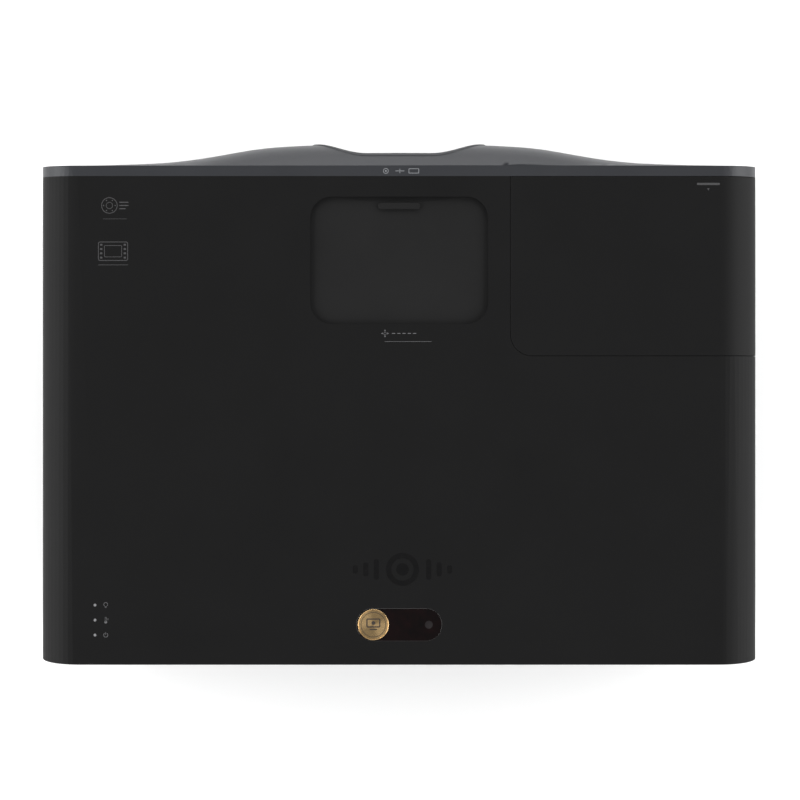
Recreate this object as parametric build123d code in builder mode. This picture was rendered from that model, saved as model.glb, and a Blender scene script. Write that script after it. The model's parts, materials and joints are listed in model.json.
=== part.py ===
from build123d import *
import math
import os

# Home cinema projector. Millimetres, +Z up, the lens looks along -Y.
# The origin is on the floor under the middle of the whole object.
# Left is +X and right is -X, as seen by somebody who stands behind it and faces the screen.

os.makedirs("parts", exist_ok=True)

# ---------------------------------------------------------------- overall sizes
body_width = 493.4            # across the flat sides
body_depth = 342.9            # front face beside the swelling to the rear top edge
total_height = 135.0          # floor to the top of the badge
foot_gap = 13.0               # clear height under the case
badge_proud = 0.3             # the badge stands this far above the cover
swell = 16.6                  # how far the front swells out round the lens
rear_lean = 7.5               # degrees by which the rear face leans in, going down

# ---------------------------------------------------------------- case
wall = 2.5
top_radius = 26.0
bottom_radius = 14.0
parting_height = 29.0         # parting line above the underside of the case
cap_depth = 7.2               # depth of the front panel's rim
seam = 0.25                   # open joint round a lift-off cover
fit = 0.3                     # clearance beside a sliding face
running_fit = 0.06            # radial clearance of a shaft in its hole
swell_power = 5.7             # how boxy the swelling is from top to bottom
swell_shape = (               # share of half width, share of the swell
    (0.93, 0.0),
    (0.80, 0.08),
    (0.665, 0.18),
    (0.575, 0.33),
    (0.486, 0.56),
    (0.397, 0.79),
    (0.308, 0.91),
    (0.15, 0.985),
)

# ---------------------------------------------------------------- lens and its recess
recess_width = 120.0
recess_margin = 5.35          # case left above and below the opening
recess_radius = 38.0
recess_wall = 1.8
recess_proud = 0.7            # the surround's rim stands proud of the panel
recess_depth = 58.0           # from the swelling's tip to the recess's inner ring
barrel_radius = 35.0
barrel_wall = 3.0
ring_grip = 4.5               # the rings stand this far off the barrel
zoom_ring_width = 14.0
focus_ring_width = 12.0
ring_gap = 3.0
ring_flute = 0.8              # radius of each groove round a ring
ring_flutes = 60
cell_setback = 33.0           # front of the lens behind the swelling's tip
cell_flange = 7.0
glass_inset = 7.5             # the front glass is this much smaller than the barrel, in radius
glass_edge = 4.0
glass_crown = 6.0
shift_up = 3.5                # vertical lens shift each way
shift_across = 2.4            # horizontal lens shift each way
shift_clearance = 0.8         # round the lens when it is fully shifted
plate_thickness = 5.0
plate_gap = 1.0
rear_tube_step = 5.0          # the rear tube is this much smaller than the barrel, in radius
flange_across = 11.0          # the flange stands this far off the barrel at its sides
flange_above = 1.5            # and this far above and below

# ---------------------------------------------------------------- lens shift door
door_width = 122.4            # opening across
door_length = 87.6            # opening front to back
door_radius = 15.0
door_front = 21.3             # opening's front edge behind the front face
door_thickness = 2.4
door_lap = 2.0                # the door runs this far under the edge of its opening
grip_width = 28.5
grip_length = 4.1
grip_height = 2.0
grip_inset = 6.4              # grip's middle behind the opening's front edge
rail_width = 3.0
dial_radius = 13.0
dial_headroom = 1.55          # dial to the door above it
dial_spacing = 40.0
tray_wall = 1.5
ring_clearance = 0.6          # shifted ring to the tray above it
dial_shaft = 2.5
dial_lift = 0.4               # dial above the tray's floor
dial_slot = 2.2               # finger groove in the dial's top
knurl_count = 24
knurl_radius = 0.7
door_cover_gap = 0.4          # door to the underside of the cover
rail_lip = 1.5

# ---------------------------------------------------------------- light engine
engine_half_height = 27.0
engine_length = 52.0          # front to back, behind the colour wheel's gap
engine_left_x = 46.0
engine_wall = 3.0
nose_half = 38.0
nose_length = 26.0
wheel_radius = 26.0

# ---------------------------------------------------------------- lamp
lamp_box_gap = 22.0           # lamp's housing to the lens mount and to the case's side
lamp_cover_edge = 76.3        # the cover's inner edge from the middle
lamp_cover_length = 123.7     # front seam to the cover's rear edge
lamp_box_below = 34.0         # lens axis down to the underside of the lamp's housing
lamp_box_length = 76.0
lamp_box_wall = 2.5
reflector_radius = 24.5
reflector_length = 30.0
reflector_wall = 2.0
reflector_gap = 1.0           # reflector to the housing above it
reflector_neck = 5.0
handle_half = 32.0
lug_thickness = 4.0
handle_length = 23.0
handle_wire = 1.5

# ---------------------------------------------------------------- fans and grilles
fan_size = 80.0
fan_depth = 25.0
fan_centre = 162.0            # from the middle
grille_width = 108.0
grille_height = 72.0
grille_radius = 9.0
slat_pitch = 5.0
slat_thickness = 1.6
slat_depth = 7.0
slat_setback = 2.2
frame_bar = 3.0
side_grille_bar = 1.5
side_grille_pitch = 4.2
side_grille_depth = 5.0
side_grille_setback = 0.8
side_grille_corner = 5.0
side_grille_length = 120.0
side_grille_height = 44.0
fan_setback = 6.0             # fans behind the front seam
hub_radius = 17.0
fan_shaft = 2.0
fan_blades = 7
blade_pitch = 38.0            # degrees
blade_thickness = 1.6
blower_radius = 34.0
blower_height = 28.0

# ---------------------------------------------------------------- top details
pill_width = 59.0
pill_length = 22.5
pill_inset = 27.5             # middle of the pill window to the rear edge
pill_thickness = 1.2
badge_radius = 10.55
badge_offset = 17.7
indicator_radius = 1.0
indicator_inset = 37.8        # from the left side
indicator_pitch = 10.3
indicator_rear = 20.4         # last light to the rear edge

# ---------------------------------------------------------------- control strip
strip_length = 19.2
strip_height = 64.0
strip_depth = 0.5
strip_inset = 23.9            # strip's middle to the rear edge
key_depth = 4.0
key_gap = 0.25
key_flange = 0.6
key_proud = 0.3
key_rounding = 1.2
strip_corner = 3.0
strip_below_fillet = 1.0      # strip's top edge below the end of the cover's rounding

# ---------------------------------------------------------------- rear panel and feet
rear_panel_thickness = 2.5
rear_panel_inset = 1.0
panel_screw_inset = 22.0      # from the sides
air_slot_length = 30.0
air_slot_width = 3.2
air_slot_pitch = 9.0
air_slot_count = 32
air_slot_row = 27.0           # slots' height on the rear panel, from its middle
socket_row = -22.0            # sockets' height on the rear panel, from its middle
foot_radius = 14.0
foot_pad = 9.0
foot_stem_radius = 4.0
foot_stem_length = 22.0
foot_inset_x = 52.0
foot_inset_front = 40.0
foot_inset_rear = 58.0
mount_spacing_x = 300.0
mount_spacing_y = 150.0
mount_bore = 2.0
mount_depth = 9.0

# ---------------------------------------------------------------- inner pieces
board_thickness = 1.6
board_lift = 22.0             # underside of the main board above the case floor
power_lift = 18.0             # the same for the power board
screw_radius = 1.75
post_radius = 4.5
post_inset = 24.0             # screw posts' distance from the sides
post_front = 23.0             # left front post behind the front face
post_rear_left = 62.0         # posts ahead of the rear edge
post_rear_right = 44.0
board_gap = 2.0               # boards to the screw posts beside them

# ---------------------------------------------------------------- derived places
half_width = body_width / 2
total_depth = body_depth + swell
rear_y = total_depth / 2
tip_y = -rear_y
front_y = tip_y + swell
seam_y = front_y + cap_depth
bottom_z = foot_gap
top_z = total_height - badge_proud
lens_z = (bottom_z + top_z) / 2
half_height = (top_z - bottom_z) / 2
parting_z = bottom_z + parting_height
floor_z = bottom_z + wall
ceiling_z = top_z - wall
lean = math.tan(math.radians(rear_lean))
ring_radius = barrel_radius + ring_grip
glass_radius = barrel_radius - glass_inset
rear_tube_radius = barrel_radius - rear_tube_step
flange_half_width = barrel_radius + flange_across
flange_half_height = barrel_radius + flange_above
recess_height = 2 * (half_height - recess_margin)


def cross_plane(y, height=0.0):
    """Plane across the body at one depth: local x is +X, local y is +Z, normal is -Y."""
    return Plane(origin=(0, y, height), x_dir=(1, 0, 0), z_dir=(0, -1, 0))


def side_plane(x):
    """Plane along the body: local x is +Y, local y is +Z, normal is +X."""
    return Plane(origin=(x, 0, 0), x_dir=(0, 1, 0), z_dir=(1, 0, 0))


def rear_plane(depth):
    """Leaning plane at one depth behind the rear face, local y up, normal out of the back."""
    slope = math.radians(rear_lean)
    normal = Vector(0, math.cos(slope), -math.sin(slope))
    middle = Vector(0, rear_y - half_height * lean, lens_z)
    return Plane(origin=middle - normal * depth, x_dir=(-1, 0, 0), z_dir=normal)


def case_section(inset, y):
    """The case's rounded outline, drawn in by inset, on the plane at one depth."""
    side = half_width - inset
    low = bottom_z + inset
    high = top_z - inset
    corners = [(-side, low), (side, low), (side, high), (-side, high)]
    under = bottom_radius - inset
    over = top_radius - inset
    with BuildSketch(cross_plane(y)) as section_sketch:
        with BuildLine():
            FilletPolyline(*corners, radius=[under, under, over, over], close=True)
        make_face()
    return section_sketch.sketch


def swell_points(height, setback):
    """Points of the front edge in plan at one height."""
    level = min(abs(height - lens_z) / half_height, 1.0)
    reach = swell * (1 - level ** swell_power)
    right = [(-share * half_width, front_y - amount * reach + setback) for share, amount in swell_shape]
    left = [(-x, y) for x, y in reversed(right)]
    return right + [(0, front_y - reach + setback)] + left


def swell_section(height, setback, back_y):
    """Closed outline in plan, from the swelling's front edge back to a straight line."""
    points = swell_points(height, setback)
    side = half_width + 1
    flat_y = front_y + setback
    with BuildSketch(Plane.XY.offset(height)) as plan_sketch:
        with BuildLine():
            Spline(*points, tangents=[(1, 0), (1, 0)])
            corners = [(side, flat_y), (side, back_y), (-side, back_y), (-side, flat_y)]
            Polyline(points[-1], *corners, points[0])
        make_face()
    return plan_sketch.sketch


def swell_block(setback, back_y, inset):
    """Solid behind the front surface, trimmed to the case's outline."""
    levels = (-1, -0.93, -0.8, -0.55, 0, 0.55, 0.8, 0.93, 1)
    sections = [swell_section(lens_z + level * half_height, setback, back_y) for level in levels]
    with BuildPart() as block:
        loft(sections)
        extrude(case_section(inset, tip_y - 5), amount=-(back_y - tip_y + 10), mode=Mode.INTERSECT)
    return block.part


def finish(node, name):
    """Label one sub-part and write it."""
    node.part.label = name
    export_step(node.part, f"parts/{name}.step")


# ================================================================ front panel
outer_swell = swell_block(0, seam_y, 0)
inner_swell = swell_block(wall, seam_y + 1, wall)

grille_x = fan_centre
with BuildPart() as front_panel:
    add(outer_swell)
    add(inner_swell, mode=Mode.SUBTRACT)
    with BuildSketch(cross_plane(tip_y - 5, lens_z)):
        RectangleRounded(recess_width, recess_height, recess_radius)
        with Locations((grille_x, 0), (-grille_x, 0)):
            RectangleRounded(grille_width, grille_height, grille_radius)
    extrude(amount=-(swell + cap_depth + 10), mode=Mode.SUBTRACT)
finish(front_panel, "front_panel")

# ================================================================ lens surround
recess_back_y = tip_y + recess_depth
inner_ring = ring_radius + math.hypot(shift_up, shift_across) + shift_clearance
throat = 2 * inner_ring
funnel_y = front_y + 1


def recess_block(inset, overrun):
    """Straight mouth and funnel of the recess, drawn in by inset."""
    mouth = (recess_width - 2 * inset, recess_height - 2 * inset, recess_radius - inset)
    back = throat + 2 * (recess_wall - inset)
    with BuildPart() as block:
        with BuildSketch(cross_plane(tip_y - 5 - overrun, lens_z)):
            RectangleRounded(*mouth)
        extrude(amount=-(funnel_y - tip_y + 5 + overrun))
    with BuildPart() as funnel:
        with BuildSketch(cross_plane(funnel_y, lens_z)):
            RectangleRounded(*mouth)
        with BuildSketch(cross_plane(recess_back_y + overrun, lens_z)):
            RectangleRounded(back, back, back / 2 - 0.1)
        loft()
    return block.part + funnel.part


recess_outside = recess_block(0, 0)
recess_inside = recess_block(recess_wall, 0.1)
rim_swell = swell_block(-recess_proud, recess_back_y + 1, 0)
with BuildPart() as lens_surround:
    add(recess_outside)
    add(recess_inside, mode=Mode.SUBTRACT)
    add(rim_swell, mode=Mode.INTERSECT)
finish(lens_surround, "lens_surround")

# ================================================================ front grilles
slat_count = int(grille_height / slat_pitch) - 1
slat_heights = [(i - (slat_count - 1) / 2) * slat_pitch for i in range(slat_count)]


def grille_bar(height, thickness, x):
    """One bar across a front grille that follows the swelling."""
    front = swell_points(height, slat_setback)
    back = [(px, py + slat_depth) for px, py in reversed(front)]
    with BuildSketch(Plane.XY.offset(height - thickness / 2)) as bar_sketch:
        with BuildLine():
            Spline(*front, tangents=[(1, 0), (1, 0)])
            Line(front[-1], back[0])
            Spline(*back, tangents=[(-1, 0), (-1, 0)])
            Line(back[-1], front[0])
        make_face()
        with Locations((x, front_y)):
            Rectangle(grille_width, 4 * swell, mode=Mode.INTERSECT)
    return extrude(bar_sketch.sketch, amount=thickness)


for side, name in ((1, "front_grille_left"), (-1, "front_grille_right")):
    bars = [grille_bar(lens_z + h, slat_thickness, side * grille_x) for h in slat_heights]
    edge = (grille_height - frame_bar) / 2
    bars += [grille_bar(lens_z + h, frame_bar, side * grille_x) for h in (-edge, edge)]
    rib_y = front_y + slat_setback + slat_depth / 2
    with BuildPart() as front_grille:
        for bar in bars:
            add(bar)
        with BuildSketch(Plane.XY.offset(lens_z - grille_height / 2)):
            rib_step = (grille_width - frame_bar) / 4
            for i in range(5):
                rib_x = side * grille_x + (i - 2) * rib_step
                level = abs(rib_x) / half_width
                forward = 0.45 * swell if level < 0.5 else 0.1 * swell
                with Locations((rib_x, rib_y - forward / 2)):
                    Rectangle(frame_bar * (1 if i in (0, 4) else 0.6), slat_depth + forward - 2)
        extrude(amount=grille_height)
        with BuildSketch(cross_plane(tip_y, lens_z)):
            with Locations((side * grille_x, 0)):
                RectangleRounded(grille_width, grille_height, grille_radius)
        extrude(amount=-3 * swell, mode=Mode.INTERSECT)
    finish(front_grille, name)

# ================================================================ case shells
post_places = [
    (half_width - post_inset, front_y + post_front),
    (half_width - post_inset, rear_y - post_rear_left),
    (-half_width + post_inset, seam_y + lamp_cover_length + post_radius + 4),
    (-half_width + post_inset, rear_y - post_rear_right),
]
case_length = rear_y - seam_y
cover_rear_y = seam_y + lamp_cover_length
door_y = front_y + door_front + door_length / 2
door_under = ceiling_z - door_cover_gap
door_low = door_under - door_thickness
rail_end = door_y + door_length / 2 + (door_length - 10) + 3
slide_travel = door_length - grip_inset - grip_length / 2 - 2.2
side_grille_y = (cover_rear_y + rear_y) / 2 - 30
side_grille_z = parting_z + 6 + side_grille_height / 2
pill_y = rear_y - pill_inset
strip_y = rear_y - strip_inset
strip_z = top_z - top_radius - strip_below_fillet - strip_height / 2
indicator_x = half_width - indicator_inset
indicator_places = [(indicator_x, rear_y - indicator_rear - i * indicator_pitch) for i in range(3)]


def lamp_region(gap):
    """Plan of the lamp cover, drawn in by gap, reaching past the case's side and front."""
    inner = -lamp_cover_edge - gap
    outer = -half_width - 5
    front = seam_y - 5
    back = cover_rear_y - gap
    with BuildSketch(Plane.XY.offset(parting_z + gap)) as region_sketch:
        with BuildLine():
            corners = [(inner, front), (inner, back), (outer, back), (outer, front)]
            FilletPolyline(*corners, radius=[0, door_radius - gap, 0, 0], close=True)
        make_face()
    return region_sketch.sketch


with BuildPart() as case_tube:
    extrude(case_section(0, seam_y), amount=-case_length)
    extrude(case_section(wall, seam_y), amount=-case_length, mode=Mode.SUBTRACT)
    split(bisect_by=rear_plane(0), keep=Keep.BOTTOM)

with BuildPart() as top_cover:
    add(case_tube.part)
    split(bisect_by=Plane.XY.offset(parting_z), keep=Keep.TOP)
    extrude(lamp_region(0), amount=total_height, mode=Mode.SUBTRACT)
    # door opening, remote window seat and indicator holes
    with BuildSketch(Plane.XY.offset(ceiling_z - 1)):
        with Locations((0, door_y)):
            RectangleRounded(door_width, door_length, door_radius)
        with Locations(*indicator_places):
            Circle(indicator_radius)
    extrude(amount=wall + 2, mode=Mode.SUBTRACT)
    with BuildSketch(Plane.XY.offset(top_z - pill_thickness)):
        with Locations((0, pill_y)):
            SlotOverall(pill_width, pill_length)
    extrude(amount=pill_thickness + 1, mode=Mode.SUBTRACT)
    # guide rails under the door's two sides
    for side in (1, -1):
        rail_length = rail_end - (seam_y + 8)
        rail_y = (rail_end + seam_y + 8) / 2
        rail_x = door_width / 2 + door_lap + fit + rail_width / 2
        with BuildSketch(Plane.XY.offset(door_low - fit - rail_lip)):
            with Locations((side * rail_x, rail_y)):
                Rectangle(rail_width, rail_length)
        extrude(amount=ceiling_z - door_low + fit + rail_lip)
        with BuildSketch(Plane.XY.offset(door_low - fit - rail_lip)):
            with Locations((side * (rail_x - rail_width / 2 - 1), rail_y)):
                Rectangle(rail_width + 2, rail_length)
        extrude(amount=rail_lip)
    # side grille windows
    with BuildSketch(side_plane(-half_width - 1)):
        with Locations((side_grille_y, side_grille_z)):
            RectangleRounded(side_grille_length, side_grille_height, side_grille_corner)
    extrude(amount=body_width + 2, mode=Mode.SUBTRACT)
    # control strip recess, cut right through for the bezel
    with BuildSketch(side_plane(half_width - wall - 1)):
        with Locations((strip_y, strip_z)):
            RectangleRounded(strip_length, strip_height, strip_corner)
    extrude(amount=wall + 2, mode=Mode.SUBTRACT)
    # screw posts
    with BuildSketch(Plane.XY.offset(parting_z)):
        with Locations(*post_places):
            Circle(post_radius)
    extrude(amount=ceiling_z - parting_z)
    with BuildSketch(Plane.XY.offset(parting_z)):
        with Locations(*post_places):
            Circle(screw_radius)
    extrude(amount=14, mode=Mode.SUBTRACT)
finish(top_cover, "top_cover")

# ================================================================ lamp cover
with BuildPart() as lamp_cover:
    add(case_tube.part)
    extrude(lamp_region(seam), amount=total_height, mode=Mode.INTERSECT)
    split(bisect_by=cross_plane(seam_y + seam), keep=Keep.BOTTOM)
    # stiffening ribs under the lid
    with BuildSketch(Plane.XY.offset(ceiling_z - 2.0)):
        for i in range(3):
            with Locations((-(lamp_cover_edge + 30 + i * 30), (seam_y + cover_rear_y) / 2)):
                Rectangle(1.6, lamp_cover_length - 30)
    extrude(amount=2.0)
finish(lamp_cover, "lamp_cover")

# ================================================================ lens shift door
with BuildPart() as lens_shift_door:
    with BuildSketch(Plane.XY.offset(door_low)):
        with Locations((0, door_y)):
            Rectangle(door_width + 2 * door_lap, door_length + 2 * door_lap)
    extrude(amount=door_thickness)
    grip_y = door_y - door_length / 2 + grip_inset
    with BuildSketch(Plane.XY.offset(door_under)):
        with Locations((0, grip_y)):
            SlotOverall(grip_width, grip_length)
    extrude(amount=grip_height)
finish(lens_shift_door, "lens_shift_door")

# ================================================================ shift tray and dials
tray_half_width = door_width / 2 - 1.5
tray_top = door_low - fit - rail_lip - 0.2
tray_rear = door_y + door_length / 2 - 2
tray_floor = lens_z + ring_radius + shift_up + ring_clearance
tray_step = recess_back_y + 6
dial_y = (tray_step + tray_rear) / 2
dial_x = dial_spacing / 2
dial_low = tray_floor + tray_wall + dial_lift
dial_height = door_low - dial_headroom - dial_low
with BuildPart() as shift_tray:
    with BuildSketch(Plane.XY.offset(tray_floor)):
        with Locations((0, (tray_step + tray_rear) / 2)):
            Rectangle(2 * tray_half_width, tray_rear - tray_step)
    extrude(amount=tray_top - tray_floor)
    with BuildSketch(Plane.XY.offset(tray_floor + tray_wall)):
        with Locations((0, (tray_step + tray_rear) / 2)):
            Rectangle(2 * (tray_half_width - tray_wall), tray_rear - tray_step - 2 * tray_wall)
    extrude(amount=total_height, mode=Mode.SUBTRACT)
    # shelf over the recess, ahead of the well
    shelf_front = door_y - door_length / 2 + 8
    with BuildSketch(Plane.XY.offset(tray_top - tray_wall)):
        with Locations((0, (shelf_front + tray_step) / 2)):
            Rectangle(2 * tray_half_width, tray_step - shelf_front)
    extrude(amount=tray_wall)
    with BuildSketch(Plane.XY.offset(tray_floor - 1)):
        with Locations((dial_x, dial_y), (-dial_x, dial_y)):
            Circle(dial_shaft + running_fit)
    extrude(amount=tray_wall + 2, mode=Mode.SUBTRACT)
    # lugs out to the rails of the cover
    with BuildSketch(Plane.XY.offset(tray_top - tray_wall)):
        with Locations((0, tray_rear - 8), (0, tray_step + 8)):
            Rectangle(door_width + 2 * door_lap + 2 * rail_width, 8)
        with Locations((0, (tray_step + tray_rear) / 2)):
            Rectangle(2 * (tray_half_width - tray_wall), tray_rear - tray_step, mode=Mode.SUBTRACT)
    extrude(amount=tray_wall + 0.2)
finish(shift_tray, "shift_tray")

for name, x in (("vertical_shift_dial", dial_x), ("horizontal_shift_dial", -dial_x)):
    with BuildPart() as dial:
        with BuildSketch(Plane.XY.offset(dial_low)):
            with Locations((x, dial_y)):
                Circle(dial_radius)
                with PolarLocations(dial_radius, knurl_count):
                    Circle(knurl_radius, mode=Mode.SUBTRACT)
        extrude(amount=dial_height)
        with BuildSketch(Plane.XY.offset(dial_low + dial_height - 1.2)):
            with Locations((x, dial_y)):
                Circle(dial_radius - 3)
                Rectangle(2 * dial_radius, dial_slot, mode=Mode.SUBTRACT)
        extrude(amount=2, mode=Mode.SUBTRACT)
        with BuildSketch(Plane.XY.offset(dial_low - tray_wall - 2.2)):
            with Locations((x, dial_y)):
                Circle(dial_shaft)
        extrude(amount=tray_wall + 2.2)
    finish(dial, name)

# ================================================================ lens
cell_front_y = tip_y + cell_setback
focus_front_y = cell_front_y + cell_flange + ring_gap
zoom_front_y = focus_front_y + focus_ring_width + ring_gap
barrel_front_y = focus_front_y - 1.5
barrel_rear_y = tray_rear + 0.8
flange_y = barrel_rear_y
carriage_y = flange_y + plate_thickness + plate_gap
mount_y = carriage_y + plate_thickness + plate_gap
mount_back_y = mount_y + plate_thickness


def lens_tube(radius, y0, y1):
    """Add or cut a round bar on the lens axis between two depths."""
    with BuildSketch(cross_plane(y0, lens_z)) as round_sketch:
        Circle(radius)
    return extrude(round_sketch.sketch, amount=-(y1 - y0))


cell_radius = barrel_radius - barrel_wall - running_fit
cell_rear_y = zoom_front_y + zoom_ring_width
with BuildPart() as lens_barrel:
    add(lens_tube(barrel_radius, barrel_front_y, flange_y + 1))
    add(lens_tube(barrel_radius + 1.5, focus_front_y + focus_ring_width + 1, zoom_front_y - 1))
    add(lens_tube(barrel_radius + 3.5, cell_rear_y + 1, cell_rear_y + 6))
    with BuildSketch(cross_plane(flange_y, lens_z)):
        RectangleRounded(2 * flange_half_width, 2 * flange_half_height, 6)
    extrude(amount=-plate_thickness)
    add(lens_tube(rear_tube_radius, flange_y, mount_back_y - plate_gap / 2))
    add(lens_tube(barrel_radius - barrel_wall, barrel_front_y - 1, cell_rear_y + 10), mode=Mode.SUBTRACT)
    add(lens_tube(rear_tube_radius - barrel_wall, cell_rear_y, mount_back_y + 1), mode=Mode.SUBTRACT)
finish(lens_barrel, "lens_barrel")

for name, y, length in (
    ("focus_ring", focus_front_y, focus_ring_width),
    ("zoom_ring", zoom_front_y, zoom_ring_width),
):
    with BuildPart() as ring:
        with BuildSketch(cross_plane(y, lens_z)):
            Circle(ring_radius)
            with PolarLocations(ring_radius, ring_flutes):
                Circle(ring_flute, mode=Mode.SUBTRACT)
            Circle(barrel_radius + running_fit, mode=Mode.SUBTRACT)
        extrude(amount=-length)
    finish(ring, name)

with BuildPart() as front_cell:
    add(lens_tube(ring_radius - 0.5, cell_front_y, cell_front_y + cell_flange))
    add(lens_tube(cell_radius, cell_front_y, cell_rear_y))
    add(lens_tube(glass_radius + 2.5, cell_front_y - 1, cell_front_y + 2), mode=Mode.SUBTRACT)
    add(lens_tube(glass_radius, cell_front_y, cell_front_y + cell_flange + 4), mode=Mode.SUBTRACT)
    add(lens_tube(glass_radius - 2.5, cell_front_y, cell_rear_y + 1), mode=Mode.SUBTRACT)
finish(front_cell, "front_cell")

glass_seat_y = cell_front_y + cell_flange + 4
crown_y = glass_seat_y - glass_edge - glass_crown
with BuildPart() as front_glass:
    with BuildSketch(Plane.YZ):
        with BuildLine():
            Line((glass_seat_y, lens_z), (glass_seat_y, lens_z + glass_radius))
            Line((glass_seat_y, lens_z + glass_radius), (glass_seat_y - glass_edge, lens_z + glass_radius))
            rim = (glass_seat_y - glass_edge, lens_z + glass_radius)
            TangentArc((crown_y, lens_z), rim, tangent=(0, 1))
            Line((crown_y, lens_z), (glass_seat_y, lens_z))
        make_face()
    revolve(axis=Axis((0, 0, lens_z), (0, 1, 0)))
finish(front_glass, "front_glass")

# ================================================================ lens shift carriage and mount plate
carriage_half_height = flange_half_height + fit + 4
carriage_half_width = flange_half_width + shift_across + 6
with BuildPart() as vertical_carriage:
    with BuildSketch(cross_plane(carriage_y, lens_z)):
        Rectangle(2 * carriage_half_width, 2 * carriage_half_height)
        Circle(rear_tube_radius + shift_across + 0.6, mode=Mode.SUBTRACT)
    extrude(amount=-plate_thickness)
    # ledges above and below the barrel's flange
    with BuildSketch(cross_plane(flange_y, lens_z)):
        for side in (1, -1):
            with Locations((0, side * (carriage_half_height - 2))):
                Rectangle(2 * carriage_half_width, 4)
    extrude(amount=-(plate_thickness + plate_gap + 1))
finish(vertical_carriage, "vertical_carriage")

mount_half_width = carriage_half_width + fit + 5
mount_half_height = lens_z - floor_z
with BuildPart() as lens_mount_plate:
    with BuildSketch(cross_plane(mount_y, lens_z)):
        with Locations((0, -(mount_half_height - carriage_half_height) / 2)):
            Rectangle(2 * mount_half_width, mount_half_height + carriage_half_height)
        Circle(rear_tube_radius + math.hypot(shift_up, shift_across) + shift_clearance, mode=Mode.SUBTRACT)
    extrude(amount=-plate_thickness)
    # ledges on both sides of the carriage
    with BuildSketch(cross_plane(carriage_y, lens_z)):
        for side in (1, -1):
            with Locations((side * (mount_half_width - 2.5), 0)):
                Rectangle(5, 2 * carriage_half_height)
    extrude(amount=-(plate_thickness + plate_gap + 1))
finish(lens_mount_plate, "lens_mount_plate")

# ================================================================ light engine
engine_front_y = mount_back_y
engine_low = lens_z - engine_half_height
engine_high = lens_z + engine_half_height
lamp_inner_x = -(mount_half_width + lamp_box_gap)
lamp_outer_x = -(half_width - wall - lamp_box_gap)
lamp_x = (lamp_inner_x + lamp_outer_x) / 2
wheel_gap_y = engine_front_y + nose_length
engine_back_y = wheel_gap_y + engine_length
engine_right_x = lamp_x - 24
wheel_x = lamp_x + 20


def box_between(x0, x1, y0, y1, z0, z1):
    """A block given by its two ends along each axis."""
    with BuildSketch(Plane.XY.offset(z0)) as block_sketch:
        with Locations(((x0 + x1) / 2, (y0 + y1) / 2)):
            Rectangle(abs(x1 - x0), abs(y1 - y0))
    return extrude(block_sketch.sketch, amount=z1 - z0)


with BuildPart() as engine_housing:
    add(box_between(engine_right_x, engine_left_x, wheel_gap_y, engine_back_y, engine_low, engine_high))
    add(box_between(-nose_half, nose_half, engine_front_y, wheel_gap_y + 5, engine_low, engine_high))
    add(
        box_between(
            engine_right_x + engine_wall,
            engine_left_x - engine_wall,
            wheel_gap_y + engine_wall,
            engine_back_y - engine_wall,
            engine_low + engine_wall,
            engine_high - engine_wall,
        ),
        mode=Mode.SUBTRACT,
    )
    add(lens_tube(rear_tube_radius - 6, engine_front_y - 1, wheel_gap_y + 10), mode=Mode.SUBTRACT)
    # light port and the wheel's bearing boss
    with BuildSketch(cross_plane(wheel_gap_y + engine_wall + 1, lens_z)):
        with Locations((lamp_x, 0)):
            Rectangle(9, 7)
    extrude(amount=engine_wall + 2, mode=Mode.SUBTRACT)
    with BuildSketch(cross_plane(wheel_gap_y, lens_z)):
        with Locations((wheel_x, 0)):
            Circle(6)
    extrude(amount=8)
    with BuildSketch(cross_plane(wheel_gap_y + engine_wall - 0.5, lens_z)):
        with Locations((wheel_x, 0)):
            Circle(1.5 + running_fit)
    extrude(amount=12, mode=Mode.SUBTRACT)
    # window for the picture chip at the back
    with BuildSketch(cross_plane(engine_back_y - engine_wall - 1, lens_z)):
        Rectangle(24, 18)
    extrude(amount=-(engine_wall + 2), mode=Mode.SUBTRACT)
finish(engine_housing, "engine_housing")

wheel_y = wheel_gap_y - 8 - 3.5
with BuildPart() as colour_wheel:
    with BuildSketch(cross_plane(wheel_y, lens_z)):
        with Locations((wheel_x, 0)):
            Circle(wheel_radius)
    extrude(amount=1.2)
    with BuildSketch(cross_plane(wheel_y + 2.5, lens_z)):
        with Locations((wheel_x, 0)):
            Circle(9)
    extrude(amount=6)
    with BuildSketch(cross_plane(wheel_y + 9, lens_z)):
        with Locations((wheel_x, 0)):
            Circle(1.5)
    extrude(amount=9)
finish(colour_wheel, "colour_wheel")

tunnel_y = wheel_gap_y + engine_wall + 2
with BuildPart() as light_tunnel:
    with BuildSketch(cross_plane(tunnel_y, lens_z)):
        with Locations((lamp_x, 0)):
            Rectangle(11, 9)
            Rectangle(8, 6, mode=Mode.SUBTRACT)
    extrude(amount=-26)
    # cradle that stands on the engine's floor
    with BuildSketch(Plane.XY.offset(engine_low + engine_wall)):
        with Locations((lamp_x, tunnel_y + 6), (lamp_x, tunnel_y + 20)):
            Rectangle(11, 4)
    extrude(amount=lens_z - 4.5 - engine_low - engine_wall)
finish(light_tunnel, "light_tunnel")

relay_y = engine_back_y - engine_wall - 22
relay_radius = 19.0
relay_thickness = 6.0
relay_foot = 14.0
prism_width = 34.0
seat_z = engine_low + engine_wall
with BuildPart() as engine_lenses:
    # relay lenses along the engine, each with a flat foot on the floor
    for i in range(3):
        relay_x = lamp_x + 34 + i * 18
        with BuildSketch(side_plane(relay_x)):
            with Locations((relay_y, lens_z)):
                Circle(relay_radius)
            foot_top = lens_z - relay_radius + 3
            with Locations((relay_y, (seat_z + foot_top) / 2)):
                Rectangle(relay_foot, foot_top - seat_z)
        extrude(amount=relay_thickness)
    # prism block behind the lens
    with BuildSketch(Plane.XY.offset(seat_z)):
        with Locations((0, relay_y)):
            Rectangle(prism_width, prism_width)
    extrude(amount=2 * (lens_z - seat_z) - 2)
finish(engine_lenses, "engine_lenses")

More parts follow.
